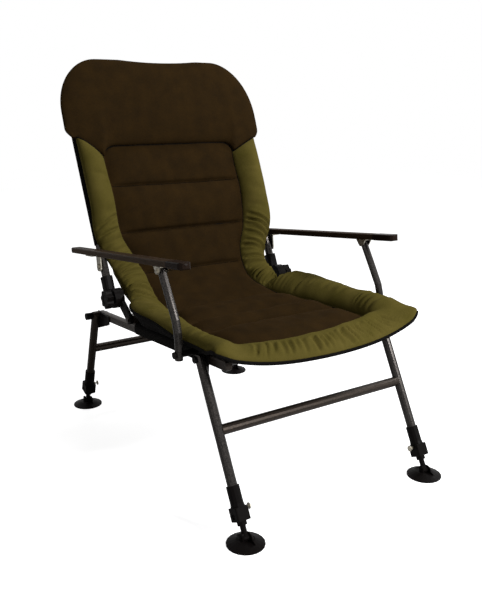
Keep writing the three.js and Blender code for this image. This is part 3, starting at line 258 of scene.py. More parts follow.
# %% [markdown]
# ## Cloths
#
# The middle of the mattress and the pillow are short-pile fleece. Its pile stands up, so it
# has no gloss, a soft sheen at grazing angles, and small cloudy patches where it was brushed.
# The side rolls are microfibre: a dense, fine weave with a peach-like nap. The underside is
# coarse black polyester, whose threads are about half a millimetre apart. That is too fine
# to show here, so they are drawn 1.6 mm apart.

# %% Napped cloths
def napped_cloth(name, dark, pale, patch_mm, pile_mm, sheen, sheen_colour, depth_mm):
    material, tree, shader = start_finish(name, pale, 0.95)
    shader.inputs["Specular IOR Level"].default_value = NAP_SPECULAR
    shader.inputs["Sheen Weight"].default_value = sheen
    shader.inputs["Sheen Roughness"].default_value = 0.45
    shader.inputs["Sheen Tint"].default_value = linear(sheen_colour)
    place = add_node(tree, "ShaderNodeTexCoord").outputs["Object"]
    patches = add_noise(tree, place, patch_mm, 4.0)
    pile = add_noise(tree, place, pile_mm, 6.0)
    both = add_node(tree, "ShaderNodeMath", {"operation": "ADD"}, links={0: patches, 1: pile})
    tint = add_range(tree, both.outputs["Value"], From_Min=0.7, From_Max=1.3)
    join_up(tree, shader, {
        "Base Color": add_ramp(tree, tint, dark, pale),
        "Normal": add_relief(tree, pile, 0.5, depth_mm),
    })
    return material


brown_fleece = napped_cloth(
    "brown_fleece", "#251b0e", "#312310", 38, 2.4, 0.05, "#5a4220", 0.5,
)
olive_microfibre = napped_cloth(
    "olive_microfibre", "#4b441b", "#5d5328", 60, 1.6, 0.12, "#8f8650", 0.2,
)
print("napped cloths ready")


# %% Woven black cloth
# A wave texture of scale 1 repeats every 0.314 m
ONE_WAVE = 0.314


def woven_cloth(name, dark, pale, thread_mm):
    material, tree, shader = start_finish(name, pale, 0.85)
    shader.inputs["Specular IOR Level"].default_value = WEAVE_SPECULAR
    place = add_node(tree, "ShaderNodeTexCoord").outputs["Object"]
    waves = [
        add_node(
            tree, "ShaderNodeTexWave", {"wave_type": "BANDS", "bands_direction": direction},
            {"Scale": ONE_WAVE / (thread_mm * MM), "Distortion": 0.6, "Detail": 1.0}, {"Vector": place},
        ).outputs["Fac"]
        for direction in ("X", "Y")
    ]
    weave = add_node(
        tree, "ShaderNodeMath", {"operation": "MULTIPLY"}, links={0: waves[0], 1: waves[1]},
    ).outputs["Value"]
    join_up(tree, shader, {
        "Base Color": add_ramp(tree, weave, dark, pale),
        "Normal": add_relief(tree, weave, 0.5, 0.3),
    })
    return material


black_polyester = woven_cloth("black_polyester", "#0a0909", "#181614", 1.6)
print("woven cloth ready")

# %% [markdown]
# ## Dress the frame
#
# Each frame piece keeps its shape and gets the finish of the real one. The front legs and
# the arm supports have the grey hammered paint. The rails, the rear legs and both
# crossbars look browner.

# %% Give each frame piece its finish
def finish_for(node):
    if node in ("seat_sling", "back_panel"):
        return black_polyester
    if "plank" in node:
        return plank_polymer
    if "armrest" in node and "cap" in node:
        return cap_polymer
    if "bracket" in node or "lock_pin" in node:
        return zinc
    if "gusset" in node:
        return satin_black_steel
    if any(word in node for word in ("recliner", "mud_foot", "leg_lock", "extension", "pivot_cap")):
        return black_nylon
    if "rail" in node or node.startswith("rear_leg") or "crossbar" in node:
        return hammered_umber
    return hammered_anthracite


for name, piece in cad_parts.items():
    piece.data.materials.clear()
    piece.data.materials.append(finish_for(name))
print("frame pieces dressed:", len(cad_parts))

# %% [markdown]
# ## The cloths that carry the mattress
#
# A strong black cloth is slung between the seat rails, and another between the back tubes.
# Each is one strip whose two sides go round a rail or tube and are sewn back on
# themselves, as a sleeve. So each is a profile across the chair, carried along its rails,
# and made as thick as canvas. The load makes the seat's cloth sag a little.

# %% Slope of the rails and lean of the back
RAIL_SLOPE = math.radians(4.46)
BACK_LEAN = math.radians(24)
RAIL_MIDDLE = np.array([0, 324.3 * MM])
HINGE = np.array([180 * MM, 383.06 * MM])
rail_x = 236 * MM
tube_x = 261.5 * MM
tube_offset = 25.6 * MM
CANVAS = 1.6 * MM
CLOTH_ROWS = 25


def turned(angle):
    return np.array([math.cos(angle), -math.sin(angle)]), np.array([math.sin(angle), math.cos(angle)])


rail_axis, rail_normal = turned(RAIL_SLOPE)
back_across, back_axis = turned(BACK_LEAN)
print("rails point to", np.round(rail_axis, 3), "and the back to", np.round(back_axis, 3))


# %% A strip carried along its rails
def slung_cloth(name, profile, origin, across, along, start, end):
    rows = np.linspace(start, end, CLOTH_ROWS)
    grid = np.zeros((len(rows), len(profile), 3))
    grid[..., 0] = profile[:, 0]
    grid[..., 1:] = origin + profile[:, 1][None, :, None] * across + rows[:, None, None] * along
    index = np.arange(len(rows) * len(profile)).reshape(grid.shape[:2])
    cloth = add_piece(name, grid.reshape(-1, 3).tolist(), grid_faces(index).tolist(), [black_polyester])
    thickness = cloth.modifiers.new("canvas", "SOLIDIFY")
    thickness.thickness = CANVAS
    thickness.offset = 0
    width = float(np.sum(np.hypot(*np.diff(profile, axis=0).T)))
    print(name, "is cut", round(width / MM), "by", round((end - start) / MM), "mm")
    return cloth, (width, end - start)


# %% Seat cloth and back cloth
ARC_POINTS, TUBE_POINTS, SHEET_POINTS = 12, 30, 30
SEAT_SLEEVE, SEAT_SLEEVE_STRAIGHT, SEAT_SAG = 9.3 * MM, 5 * MM, 4 * MM
BACK_SLEEVE = 12.3 * MM
SEAT_CLOTH_ENDS = (-200 * MM, 100 * MM)
BACK_CLOTH_ENDS = (150 * MM, 478 * MM)


def seat_profile(middle_x, radius, straight, sag):
    """Half a profile goes under the rail from its inner side, up the outer side and to the middle."""
    down = np.radians(np.linspace(20, -90, ARC_POINTS))
    low_inside = np.column_stack([middle_x - radius * np.cos(down), radius * np.sin(down) - straight])
    low_outside = np.column_stack([
        middle_x + radius * np.sin(-down[::-1]), -radius * np.cos(down[::-1]) - straight,
    ])
    over = np.radians(np.linspace(0, 90, ARC_POINTS))
    top = np.column_stack([middle_x + radius * np.cos(over), radius * np.sin(over) + straight])
    inner = np.linspace(middle_x, 0, SHEET_POINTS)[1:]
    sheet = np.column_stack([inner, radius + straight - sag * (1 - (inner / middle_x) ** 2)])
    # These five points run from the side down, so the strip doubles back a little there
    doubled = low_outside[1:6]
    half = np.concatenate([low_inside, doubled, [[middle_x + radius, -straight]], top, sheet])
    return np.concatenate([half, half[-2::-1] * (-1, 1)])


def back_profile(middle_x, radius):
    turns = np.radians(np.linspace(165, -180, TUBE_POINTS))
    right = np.column_stack([middle_x + radius * np.cos(turns), radius * np.sin(turns)])
    inner = np.linspace(middle_x - radius, 0, SHEET_POINTS)[1:]
    half = np.concatenate([right, np.column_stack([inner, 0 * inner])])
    return np.concatenate([half, half[-2::-1] * (-1, 1)])


seat_cloth, seat_cut = slung_cloth(
    "seat_cloth", seat_profile(rail_x, SEAT_SLEEVE, SEAT_SLEEVE_STRAIGHT, SEAT_SAG),
    RAIL_MIDDLE, rail_normal, rail_axis, *SEAT_CLOTH_ENDS,
)
back_cloth, back_cut = slung_cloth(
    "back_cloth", back_profile(tube_x, BACK_SLEEVE),
    HINGE + tube_offset * back_across, back_across, back_axis, *BACK_CLOTH_ENDS,
)
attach(seat_cloth, "seat_frame")
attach(back_cloth, "backrest")
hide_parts("seat_sling")
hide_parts("back_panel")

# %% [markdown]
# ## The mattress: its sewn edge
#
# One quilted mattress lies over the seat and the back. It could be modelled as boxes with a
# cloth pattern, but its shape is its charm: it narrows at the waist, its side rolls stand
# proud, and its channels are puffed. So it is described like a garment, by cross-sections
# along the sewn edge. Smooth curves through these give every size in between.

# %% Cross-sections from the front to the top
DEPTH, RISE = 790 * MM, 600 * MM
TINY = 1e-9
FRONT_Y, LOW_Z = -363 * MM, 387 * MM
# Depth share and rise share of the sewn edge, then in mm the columns that are named here:
# half widths of the mattress and of its panel seam, depth of that seam and thickness below
HALF_RIGHT, HALF_LEFT, SEAM_RIGHT, SEAM_LEFT, SEAM_DEPTH, BELOW = range(2, 8)
SECTIONS = np.array([
    (0.000, 0.0090, 280, 280, 175, 175, 22, 60),
    (0.030, 0.0150, 280, 280, 175, 186, 22, 60),
    (0.080, 0.0180, 273, 273, 176, 206, 24, 60),
    (0.229, 0.0155, 273, 275, 172, 214, 22, 60),
    (0.366, 0.0115, 273, 275, 161, 200, 21, 60),
    (0.535, 0.0075, 266, 272, 156, 176, 24, 50),
    (0.599, 0.0110, 209, 248, 154, 168, 20, 34),
    (0.646, 0.0255, 212, 236, 148, 163, 16, 34),
    (0.687, 0.0400, 217, 235, 150, 158, 13, 32),
    (0.719, 0.0685, 224, 237, 154, 154, 10, 28),
    (0.747, 0.1185, 240, 248, 161, 166, 10, 25),
    (0.778, 0.2367, 275, 275, 189, 198, 12, 20),
    (0.809, 0.3817, 274, 275, 199, 202, 16, 30),
    (0.849, 0.5017, 275, 275, 201, 203, 19, 30),
    (0.894, 0.6383, 276, 276, 203, 206, 17, 30),
    (0.903, 0.6717, 277, 277, 204, 207, 17, 30),
    (0.947, 0.8317, 279, 280, 206, 207, 17, 30),
    (0.990, 0.9883, 279, 280, 206, 207, 17, 30),
])
edge_points = np.column_stack([FRONT_Y + SECTIONS[:, 0] * DEPTH, LOW_Z + SECTIONS[:, 1] * RISE])
steps = np.hypot(*np.diff(edge_points, axis=0).T)
stations = np.concatenate([[0], np.cumsum(steps)])
print("sewn edge:", round(stations[-1] / MM), "mm long")


# %% A smooth curve through the cross-sections
def smooth_through(values, at):
    at = np.clip(at, stations[0], stations[-1])
    low = np.clip(np.searchsorted(stations, at, side="right") - 1, 0, len(stations) - 2)
    width = np.diff(stations)
    slope = np.diff(values) / width
    tangent = np.concatenate([
        slope[:1],
        (slope[:-1] * width[1:] + slope[1:] * width[:-1]) / (width[1:] + width[:-1]),
        slope[-1:],
    ])
    t = (at - stations[low]) / width[low]
    return (
        values[low] * (2 * t**3 - 3 * t**2 + 1)
        + tangent[low] * width[low] * (t**3 - 2 * t**2 + t)
        + values[low + 1] * (3 * t**2 - 2 * t**3)
        + tangent[low + 1] * width[low] * (t**3 - t**2)
    )


def edge_place(at):
    y, z = (smooth_through(edge_points[:, i], at) for i in (0, 1))
    step = 0.5 * MM
    ahead = [smooth_through(edge_points[:, i], at + step) for i in (0, 1)]
    behind = [smooth_through(edge_points[:, i], at - step) for i in (0, 1)]
    along = np.array([ahead[0] - behind[0], ahead[1] - behind[1]])
    along = along / np.maximum(np.hypot(*along), TINY)
    return y, z, -along[1], along[0]


def size_at(column, at):
    return smooth_through(SECTIONS[:, column] * MM, at)


def half_width(at, x):
    return np.where(x > 0, size_at(HALF_RIGHT, at), size_at(HALF_LEFT, at))


def seam_width(at, x):
    return np.where(x > 0, size_at(SEAM_RIGHT, at), size_at(SEAM_LEFT, at))


def station(place):
    """Distance along the sewn edge; a place is a row of the table, so 2.5 is between two rows."""
    return np.interp(place, np.arange(len(stations)), stations)


BACK_STARTS = 9
HEIGHT_SAMPLES = 400
heights = np.linspace(station(BACK_STARTS), stations[-1], HEIGHT_SAMPLES)
height_table = edge_place(heights)[1]


def station_at_height(z):
    return np.interp(z, height_table, heights)


PILLOW_SEAM = 762 * MM
print("pillow seam at", round(float(station_at_height(PILLOW_SEAM)) / MM), "mm along the edge")

# %% [markdown]
# ## The mattress: channels, rolls and creases
# The middle panel is sewn across in seven channels, each puffed between its seams. The side
# rolls are crowned from seam to edge. Where the back meets the seat the rolls are squeezed
# lengthwise, so they pinch at the fold and swell on either side. Where cloth is gathered, it
# creases: each crease is a narrow valley between two soft ridges that crosses the roll from
# the seam. Rows of them are listed, and a seeded chance varies each crease a little.

# %% Shape helpers
SEAM_PLACES = [2, 3.05, 3.73, 4.85, 9.26, 11.09, 12.62]
SEAM_STATIONS = np.array([*station(SEAM_PLACES), station_at_height(PILLOW_SEAM)])
FRONT_SEAM = SEAM_STATIONS[0]
HEAD_SEAM = SEAM_STATIONS[-1]
# Half the rim's thickness, and the rise of a full roll and of a full channel
EDGE, CROWN, CHANNEL = 3 * MM, 22 * MM, 14 * MM
CROWN_BLEND = 300 * MM


def limited(share):
    return np.clip(share, 0, 1)


def eased(share):
    share = limited(share)
    return share * share * (3 - 2 * share)


def mixed(a, b, share):
    return a + (b - a) * share


def swell(share, power):
    return np.maximum(4 * share * (1 - share), 0) ** power


def between(at, first, last):
    return limited((at - first) / (last - first))


def head_seam_height(x):
    flat, corner, side, drop = 165 * MM, 204 * MM, 276 * MM, 27 * MM
    rise_right, rise_left = 33 * MM, 46 * MM
    rounding = limited((np.abs(x) - flat) / (corner - flat))
    dip = drop * (1 - np.sqrt(np.maximum(1 - rounding**2, 0)))
    rise = limited((np.abs(x) - corner) / (side - corner))
    return PILLOW_SEAM - dip + np.where(x > 0, rise_right, rise_left) * rise


def crown_share(at, x):
    places = station([0, 1, 2, 4, 5, 5.8, 7, 9, 10.5, 12, 13.8])
    right = np.interp(at, places, [0.35, 0.35, 1.0, 1.05, 1.1, 0.2, 0.6, 0.8, 0.95, 1, 0.95])
    left = np.interp(at, places, [0.35, 0.35, 0.15, 0.2, 0.4, 0.35, 0.6, 0.8, 0.95, 1, 0.95])
    return mixed(left, right, eased(0.5 + x / CROWN_BLEND))


def outer_edge(at):
    """Height of the outer edge over the sewn edge line; beside the seat it is rolled under."""
    places = station([0, 1, 2, 3, 3.5, 4, 5, 6])
    return EDGE - np.interp(at, places, [2, 6, 18, 19, 13, 8, 2, 0]) * MM


print("channel lengths in mm:", np.round(np.diff(SEAM_STATIONS) / MM))


# %% Creases
# Each crease: place of its inner end, how far its outer end lies beyond, depth and width, in mm,
# then the reach across the roll at which it starts and at which it has died out
PLACE_JITTER, LEAN_JITTER = 0.45, 7
DEPTH_SPREAD, WIDTH_SPREAD = (0.5, 1.25), (0.7, 1.5)
START_SPREAD, END_SPREAD = 0.12, 0.3
# The ridges beside a crease: how far out, how wide and how high, for a crease of size 1
RIDGE_OUT, RIDGE_WIDTH, RIDGE_HEIGHT = 2.1, 1.6, 0.42
FADE_IN, FADE_OUT, STARTED = 0.12, 0.3, 0.35


def crease_row(first, last, count, slant, depth, width, start=0.0, end=1.0):
    jitter = chance.uniform(-PLACE_JITTER, PLACE_JITTER, count)
    places = np.linspace(first, last, count) + jitter * (last - first) / count
    slants = np.linspace(slant[0], slant[1], count) + chance.uniform(-LEAN_JITTER, LEAN_JITTER, count)
    return [
        (
            place * MM, lean * MM,
            depth * MM * chance.uniform(*DEPTH_SPREAD), width * MM * chance.uniform(*WIDTH_SPREAD),
            start + chance.uniform(0, START_SPREAD), end - chance.uniform(0, END_SPREAD),
        )
        for place, lean in zip(places, slants)
    ]


def creased(path, reach, creases):
    sunk = np.zeros(np.broadcast(path, reach).shape)
    for place, lean, depth, width, start, end in creases:
        across = (path - place - lean * (0.35 * reach + 0.65 * reach**2)) / width
        near = eased((reach - start) / FADE_IN + STARTED) * eased((end - reach) / FADE_OUT)
        valley = np.exp(-(across**2))
        before = np.exp(-((across - RIDGE_OUT) ** 2) / RIDGE_WIDTH)
        after = np.exp(-((across + RIDGE_OUT) ** 2) / RIDGE_WIDTH)
        sunk += depth * near * (RIDGE_HEIGHT * (before + after) - valley)
    return sunk


side_creases = {
    1: crease_row(714, 622, 8, (-62, -40), 9.5, 3.6, 0.0, 1.3)
    + crease_row(608, 540, 6, (-30, -14), 7.0, 4.0, 0.0, 1.3)
    + crease_row(530, 440, 10, (-12, 40), 9.5, 3.6, 0.0, 1.3)
    + crease_row(428, 345, 6, (46, 34), 2.4, 4.6, 0.0, 0.95)
    + crease_row(300, 150, 5, (24, 8), 2.0, 5.5, 0.2)
    + crease_row(128, 84, 4, (20, -14), 2.4, 4.4, 0.0, 1.1)
    + crease_row(870, 740, 4, (-10, -20), 2.0, 6.5, 0.1),
    -1: crease_row(738, 640, 5, (-34, -24), 5.5, 4.2, 0.0, 1.4)
    + crease_row(640, 560, 6, (-30, -12), 5.5, 4.2, 0.0, 1.4)
    + crease_row(545, 455, 9, (-6, 26), 9.0, 3.8, 0.0, 1.4)
    + crease_row(440, 380, 4, (20, 34), 4.0, 4.4)
    + crease_row(330, 120, 7, (18, -6), 2.2, 5.0, 0.2)
    + crease_row(870, 770, 3, (-8, -14), 2.2, 6.5, 0.1),
}
front_creases = (
    crease_row(-176, -60, 8, (-34, -6), 5.0, 3.0, 0.3, 1.2)
    + crease_row(-48, 96, 13, (0, 38), 7.0, 3.0, 0.34, 1.2)
    + crease_row(112, 172, 6, (40, 70), 5.5, 3.0, 0.4, 1.2)
)
print("creases:", sum(map(len, side_creases.values())) + len(front_creases))


# %% Soft unevenness
WAVES = [
    (chance.uniform(-1, 1, 2) * 2 * math.pi / (size * MM), chance.uniform(0, 2 * math.pi), lift * MM)
    for size, lift in ((150, 1.0), (110, 0.9), (80, 0.7), (60, 0.5), (45, 0.35), (34, 0.25))
]


def uneven(x, path):
    return sum(lift * np.sin(pull[0] * x + pull[1] * path + turn) for pull, turn, lift in WAVES)


print("wave sizes:", len(WAVES))

# %% [markdown]
# The sitting side is one function of two numbers: how far along the edge a point lies, and
# how far across. The front edge droops and bows out, and the panel's front seam bows out
# with it.

# %% The front of the seat
FRONT_BOW = 31 * MM
FRONT_HALF, FRONT_SEAM_HALF = 280 * MM, 273 * MM
FRONT_CURVE, CORNER_LENGTH, CORNER_CUT = 25 * MM, 45 * MM, 12 * MM
CORNER_DROOP, MIDDLE_DROOP = 7 * MM, 38 * MM
MITRE = 0.3


def front_edge_y(across):
    corner = limited(1 - FRONT_HALF * (1 - across) / CORNER_LENGTH)
    return FRONT_Y - FRONT_CURVE * (1 - across**1.5) + CORNER_CUT * corner**2.5


def front_droop(across):
    return CORNER_DROOP + MIDDLE_DROOP * (1 - across**3)


def front_bow(at, x):
    inside = np.maximum(1 - (np.abs(x) / seam_width(at, x)) ** 2.2, 0)
    first_channel = SEAM_STATIONS[1] - FRONT_SEAM
    fading = np.where(at < FRONT_SEAM, at / FRONT_SEAM, eased(1 - (at - FRONT_SEAM) / first_channel))
    return FRONT_BOW * inside * fading


def front_place(x, at, side_reach, front_reach, height):
    across = np.abs(x) / half_width(at, x)
    seam_y, seam_z, *_ = edge_place(np.array([FRONT_SEAM]))
    share = eased((front_reach - side_reach + MITRE) / (2 * MITRE))
    place_x = np.sign(x) * across * mixed(FRONT_SEAM_HALF, FRONT_HALF, front_reach)
    place_y = mixed(seam_y, front_edge_y(across), front_reach)
    return place_x, place_y, seam_z + height - share * front_reach * front_droop(across)


print("the front seam bows out by", round(FRONT_BOW / MM), "mm")


# %% The sitting side
# The seat's channels are fuller than the back's. The last number is the power of the swell:
# the smaller, the boxier.
SEAT_PUFF, SEAT_POWER, BACK_POWER, ROLL_POWER = 1.3, 0.85, 0.55, 0.62
SEAM_SINK, SEAM_SPREAD = 8 * MM, 4 * MM
WAIST_FOLD, FOLD_SPREAD, FOLD_RIGHT, FOLD_LEFT = 5.85, 10 * MM, 26 * MM, 12 * MM
# How fast creases fade in from the seam, out to the edge and towards the mitre of the corner
FROM_SEAM, TO_EDGE, TO_MITRE = 14, 7, 9


def panel_height(at, x):
    fill = np.interp(at, SEAM_STATIONS, np.arange(len(SEAM_STATIONS))) % 1
    to_seam = np.min(np.abs(at[..., None] - SEAM_STATIONS[1:-1]), axis=-1)
    inside = 1 - (np.abs(x) / seam_width(at, x)) ** 8
    on_seat = at < SEAM_STATIONS[3]
    puff = CHANNEL * np.where(on_seat, SEAT_PUFF * swell(fill, SEAT_POWER), swell(fill, BACK_POWER))
    return (puff - SEAM_SINK * np.exp(-((to_seam / SEAM_SPREAD) ** 2))) * inside


def fold_at_waist(at, x, side_reach):
    across = (at - station(WAIST_FOLD)) / FOLD_SPREAD
    return np.where(x > 0, FOLD_RIGHT, FOLD_LEFT) * np.exp(-(across**2)) * side_reach**0.5


def in_last_channel(at):
    return between(at, SEAM_STATIONS[-2], HEAD_SEAM)


def top_surface(at, x):
    """Points on the sitting side; at is the distance along the sewn edge."""
    half, seam, dip = half_width(at, x), seam_width(at, x), size_at(SEAM_DEPTH, at)
    side_reach = between(np.abs(x), seam, half)
    front_reach = limited((FRONT_SEAM - at) / FRONT_SEAM)
    reach = np.maximum(side_reach, front_reach)
    edge = outer_edge(at)
    bulge = (CROWN * crown_share(at, x) + (dip - edge) / 2) * (1 - 0.5 * in_last_channel(at) ** 6)
    height = mixed(-dip, edge, reach) + bulge * swell(reach, ROLL_POWER)
    in_panel = (reach <= 0) & (at < HEAD_SEAM)
    height = height + np.where(in_panel, panel_height(at, x), 0) - fold_at_waist(at, x, side_reach)
    on_side = side_reach >= front_reach
    sides = [creased(at, side_reach, side_creases[side]) for side in (1, -1)]
    folds = np.where(on_side, np.where(x > 0, *sides), creased(x, front_reach, front_creases))
    in_corner = (side_reach > 0) & (front_reach > 0)
    mitre = np.where(in_corner, limited(TO_MITRE * np.abs(side_reach - front_reach)), 1)
    folds = folds * limited(TO_EDGE * (1 - reach)) * limited(reach * FROM_SEAM) * mitre
    height = height + folds + uneven(x, at) * limited(3 * (1 - reach))
    y, z, normal_y, normal_z = edge_place(at)
    fx, fy, fz = front_place(x, at, side_reach, front_reach, height)
    ahead = front_reach > 0
    return np.stack([
        np.where(ahead, fx, x),
        np.where(ahead, fy, y + normal_y * height) - front_bow(at, x),
        np.where(ahead, fz, z + normal_z * height),
    ], axis=-1)


print("a point on the seat:", np.round(top_surface(np.array([0.3]), np.array([0.0])) / MM, 1))

# %% [markdown]
# The underside is flat where it rests: on the slung cloth of the seat, and on the cloth and
# the tubes of the back. It keeps clear of the rails, which lie in sleeves below it.

# %% The underside
CLOTH_ON_RAIL = 2.9 * MM
CLOTH_ON_BACK = 1 * MM
SLEEVE_RADIUS = 13.3 * MM
SOFT_GAP = 0.6 * MM
RAIL_HALF_HEIGHT = 13 * MM
LIP_STARTS, LIP_WIDTH = 246.9 * MM, 8 * MM
# Distance from a back tube at which the mattress starts to thin, and over which it does
APPROACH, THINNING = 22 * MM, 20 * MM
# Rows of the table: the bend starts, the seat ends, the back's tubes start, they carry fully
BEND_STARTS, SEAT_ENDS, TUBES_START, TUBES_CARRY = 5.2, 5.6, 9.6, 10
# Shares of the reach: the front droops from the first, the back's edge tapers from the second
DROOP_STARTS, TAPER_STARTS = 0.35, 0.88


def rail_middle(y):
    return RAIL_MIDDLE[1] - y * math.tan(RAIL_SLOPE)


def seat_underside(at, x, y, edge_z):
    across = np.abs(x) / rail_x
    rail_top = rail_middle(y) + RAIL_HALF_HEIGHT / math.cos(RAIL_SLOPE)
    carried = rail_top + CLOTH_ON_RAIL - SEAT_SAG * np.maximum(1 - across**2, 0)
    level = np.maximum(carried, edge_z - size_at(BELOW, at))
    half = half_width(at, x)
    clear = np.minimum(LIP_STARTS, half - LIP_WIDTH)
    lip = edge_z + outer_edge(at) - 2 * EDGE
    return mixed(np.minimum(level, lip), lip, between(np.abs(x), clear, half))


def depth_to_tubes(y, z, normal_y, normal_z):
    """Distance from the sewn edge to the middle plane of the back tubes, straight into the back."""
    dy, dz = y - HINGE[0], z - HINGE[1]
    across = dy * math.cos(BACK_LEAN) - dz * math.sin(BACK_LEAN)
    normal_across = normal_y * math.cos(BACK_LEAN) - normal_z * math.sin(BACK_LEAN)
    return (across - tube_offset) / normal_across


def back_thickness(at, x, y, z, normal_y, normal_z):
    depth = depth_to_tubes(y, z, normal_y, normal_z)
    beside = limited((np.abs(x) - tube_x + SLEEVE_RADIUS + APPROACH) / THINNING)
    under = mixed(depth - CLOTH_ON_BACK - SOFT_GAP, depth - SLEEVE_RADIUS - 2 * SOFT_GAP, beside)
    own = size_at(BELOW, at)
    on_frame = between(at, station(TUBES_START), station(TUBES_CARRY))
    return mixed(own, np.minimum(under, own), on_frame)


def under_surface(at, x):
    y, z, normal_y, normal_z = edge_place(at)
    half, seam = half_width(at, x), seam_width(at, x)
    front_reach = limited((FRONT_SEAM - at) / FRONT_SEAM)
    fx, fy, _ = front_place(x, at, 0 * x, front_reach, 0 * x)
    drooping = limited((front_reach - DROOP_STARTS) / (1 - DROOP_STARTS))
    across = np.abs(x) / half
    seam_z = edge_place(np.array([FRONT_SEAM]))[1]
    lip = seam_z - front_reach * front_droop(across) - EDGE
    front_z = mixed(seat_underside(at, x, fy, z), lip, drooping**1.2)
    reach = between(np.abs(x), seam, half)
    taper = limited((reach - TAPER_STARTS) / (1 - TAPER_STARTS)) ** 2
    depth = mixed(back_thickness(at, x, y, z, normal_y, normal_z), EDGE, taper)
    bent = between(at, station(BEND_STARTS), station(SEAT_ENDS))
    low_y = mixed(y, y - normal_y * depth, bent)
    low_z = mixed(seat_underside(at, x, y, z), z - normal_z * depth, bent)
    ahead = front_reach > 0
    return np.stack([
        np.where(ahead, fx, x),
        np.where(ahead, fy, low_y) - front_bow(at, x),
        np.where(ahead, front_z, low_z),
    ], axis=-1)


print("under the seat:", np.round(under_surface(np.array([0.3]), np.array([0.0])) / MM, 1))

# %% [markdown]
# ## Sewing the mattress
#
# The surface is a grid. Its rows are about 2.5 mm apart along the edge, close enough to hold the
# creases, and its columns follow the seams, so that the side rolls and the panel meet in a
# clean line. Above the last channel the rows bend to follow the pillow's seam.

# %% Grid of rows and columns
FRONT_ROWS, PANEL_LINES, ROLL_LINES = 32, 46, 24
ROW_STEP = 2.5 * MM


def grid_rows():
    front = np.linspace(0, FRONT_SEAM, FRONT_ROWS)
    rest = np.arange(FRONT_SEAM, HEAD_SEAM, ROW_STEP)[1:-1]
    return np.concatenate([front, rest, [HEAD_SEAM]])


panel_shares = np.linspace(0, 1, PANEL_LINES)
roll_shares = (1 - np.cos(np.linspace(0, math.pi, ROLL_LINES)[1:])) / 2
rows = grid_rows()


def grid_x(at):
    halves = []
    for side in (-1, 1):
        seam, half = seam_width(at, side)[:, None], half_width(at, side)[:, None]
        halves.append(side * np.concatenate([panel_shares * seam, mixed(seam, half, roll_shares)], axis=1))
    return np.concatenate([halves[0][:, :0:-1], halves[1]], axis=1)


x_grid = grid_x(rows)
to_seam = station_at_height(head_seam_height(x_grid)) - HEAD_SEAM
at_grid = rows[:, None] + np.zeros_like(x_grid)
bent_grid = at_grid + in_last_channel(rows)[:, None] * to_seam
print("grid:", x_grid.shape)


# %% Top and bottom
THINNEST = 5.5 * MM


def stretched_top(at, bent, x):
    """The sitting side, with the fill of the last channel kept while its rows bend."""
    flat = top_surface(at, x)
    here, there = np.stack(edge_place(at)), np.stack(edge_place(bent))
    height = (flat[..., 1] - here[0]) * here[2] + (flat[..., 2] - here[1]) * here[3]
    moved = np.stack([x, there[0] + there[2] * height, there[1] + there[3] * height], -1)
    return np.where((at > SEAM_STATIONS[-2])[..., None], moved, flat)


def at_least(thickness, top, bottom, at):
    """Pushes the underside away where a fold or crease would come through it."""
    _, _, normal_y, normal_z = edge_place(np.maximum(at, FRONT_SEAM))
    normal = np.stack([0 * at, normal_y, normal_z], -1)
    short = thickness - np.sum((top - bottom) * normal, axis=-1)
    return bottom - normal * np.maximum(short, 0)[..., None]


top = stretched_top(at_grid, bent_grid, x_grid)
bottom = at_least(THINNEST, top, under_surface(bent_grid, x_grid), bent_grid)
thin = np.linalg.norm(top - bottom, axis=-1)
print("thickness in mm:", round(float(thin.min() / MM), 1), "to", round(float(thin.max() / MM), 1))


# %% Close a grid above and a grid below into one body
def padded_mesh(name, top, bottom, top_slots, under_slots, rim_slot, materials):
    rows, columns, _ = top.shape
    index = np.arange(rows * columns).reshape(rows, columns)
    low = index + rows * columns
    under = grid_faces(low)[:, [0, 3, 2, 1]]
    loop = np.concatenate([index[0, :], index[1:, -1], index[-1, -2::-1], index[-2:0:-1, 0]])
    after = np.roll(loop, -1)
    rim = np.stack([loop, loop + rows * columns, after + rows * columns, after], -1)
    points = np.concatenate([top.reshape(-1, 3), bottom.reshape(-1, 3)])
    faces = np.concatenate([grid_faces(index), under, rim])
    piece = add_piece(name, points.tolist(), faces.tolist(), materials)
    slots = np.concatenate([np.ravel(top_slots), np.ravel(under_slots), np.full(len(rim), rim_slot)])
    piece.data.polygons.foreach_set("material_index", slots.astype(np.int32))
    piece.data.validate()
    return piece


print("a closed body has three groups of faces: its top, its underside and its rim")

# %% The quilted body
# Under the back, the outer columns of each roll are olive too, and these inner ones are black
BLACK_ROLL_COLUMNS = 15
panel_columns = len(panel_shares) - 1
middle = x_grid.shape[1] // 2
face_rows, face_columns = np.meshgrid(
    np.arange(len(rows) - 1), np.arange(x_grid.shape[1] - 1), indexing="ij",
)
from_middle = np.abs(face_columns + 0.5 - middle)
in_panel = (rows[face_rows] >= FRONT_SEAM - TINY) & (from_middle < panel_columns)
on_back = rows[face_rows] > station(SEAT_ENDS)
olive_below = on_back & (from_middle > panel_columns + BLACK_ROLL_COLUMNS)
mattress = padded_mesh(
    "quilted_mattress", top, bottom, np.where(in_panel, 0, 1), np.where(olive_below, 1, 2), 1,
    [brown_fleece, olive_microfibre, black_polyester],
)
print("mattress faces:", len(mattress.data.polygons))

# %% [markdown]
# ## The pillow
#
# The pillow is a bag of the same fleece, closed by a seam round its edge. It is plump in the
# middle, and its corners are pulled in. Its lower seam swings down at the panel's rounded
# corners and up again to the sides.

# %% Pillow surface
PILLOW_TOP, TOP_DIP, PILLOW_GAP = 981 * MM, 6 * MM, 1.2 * MM
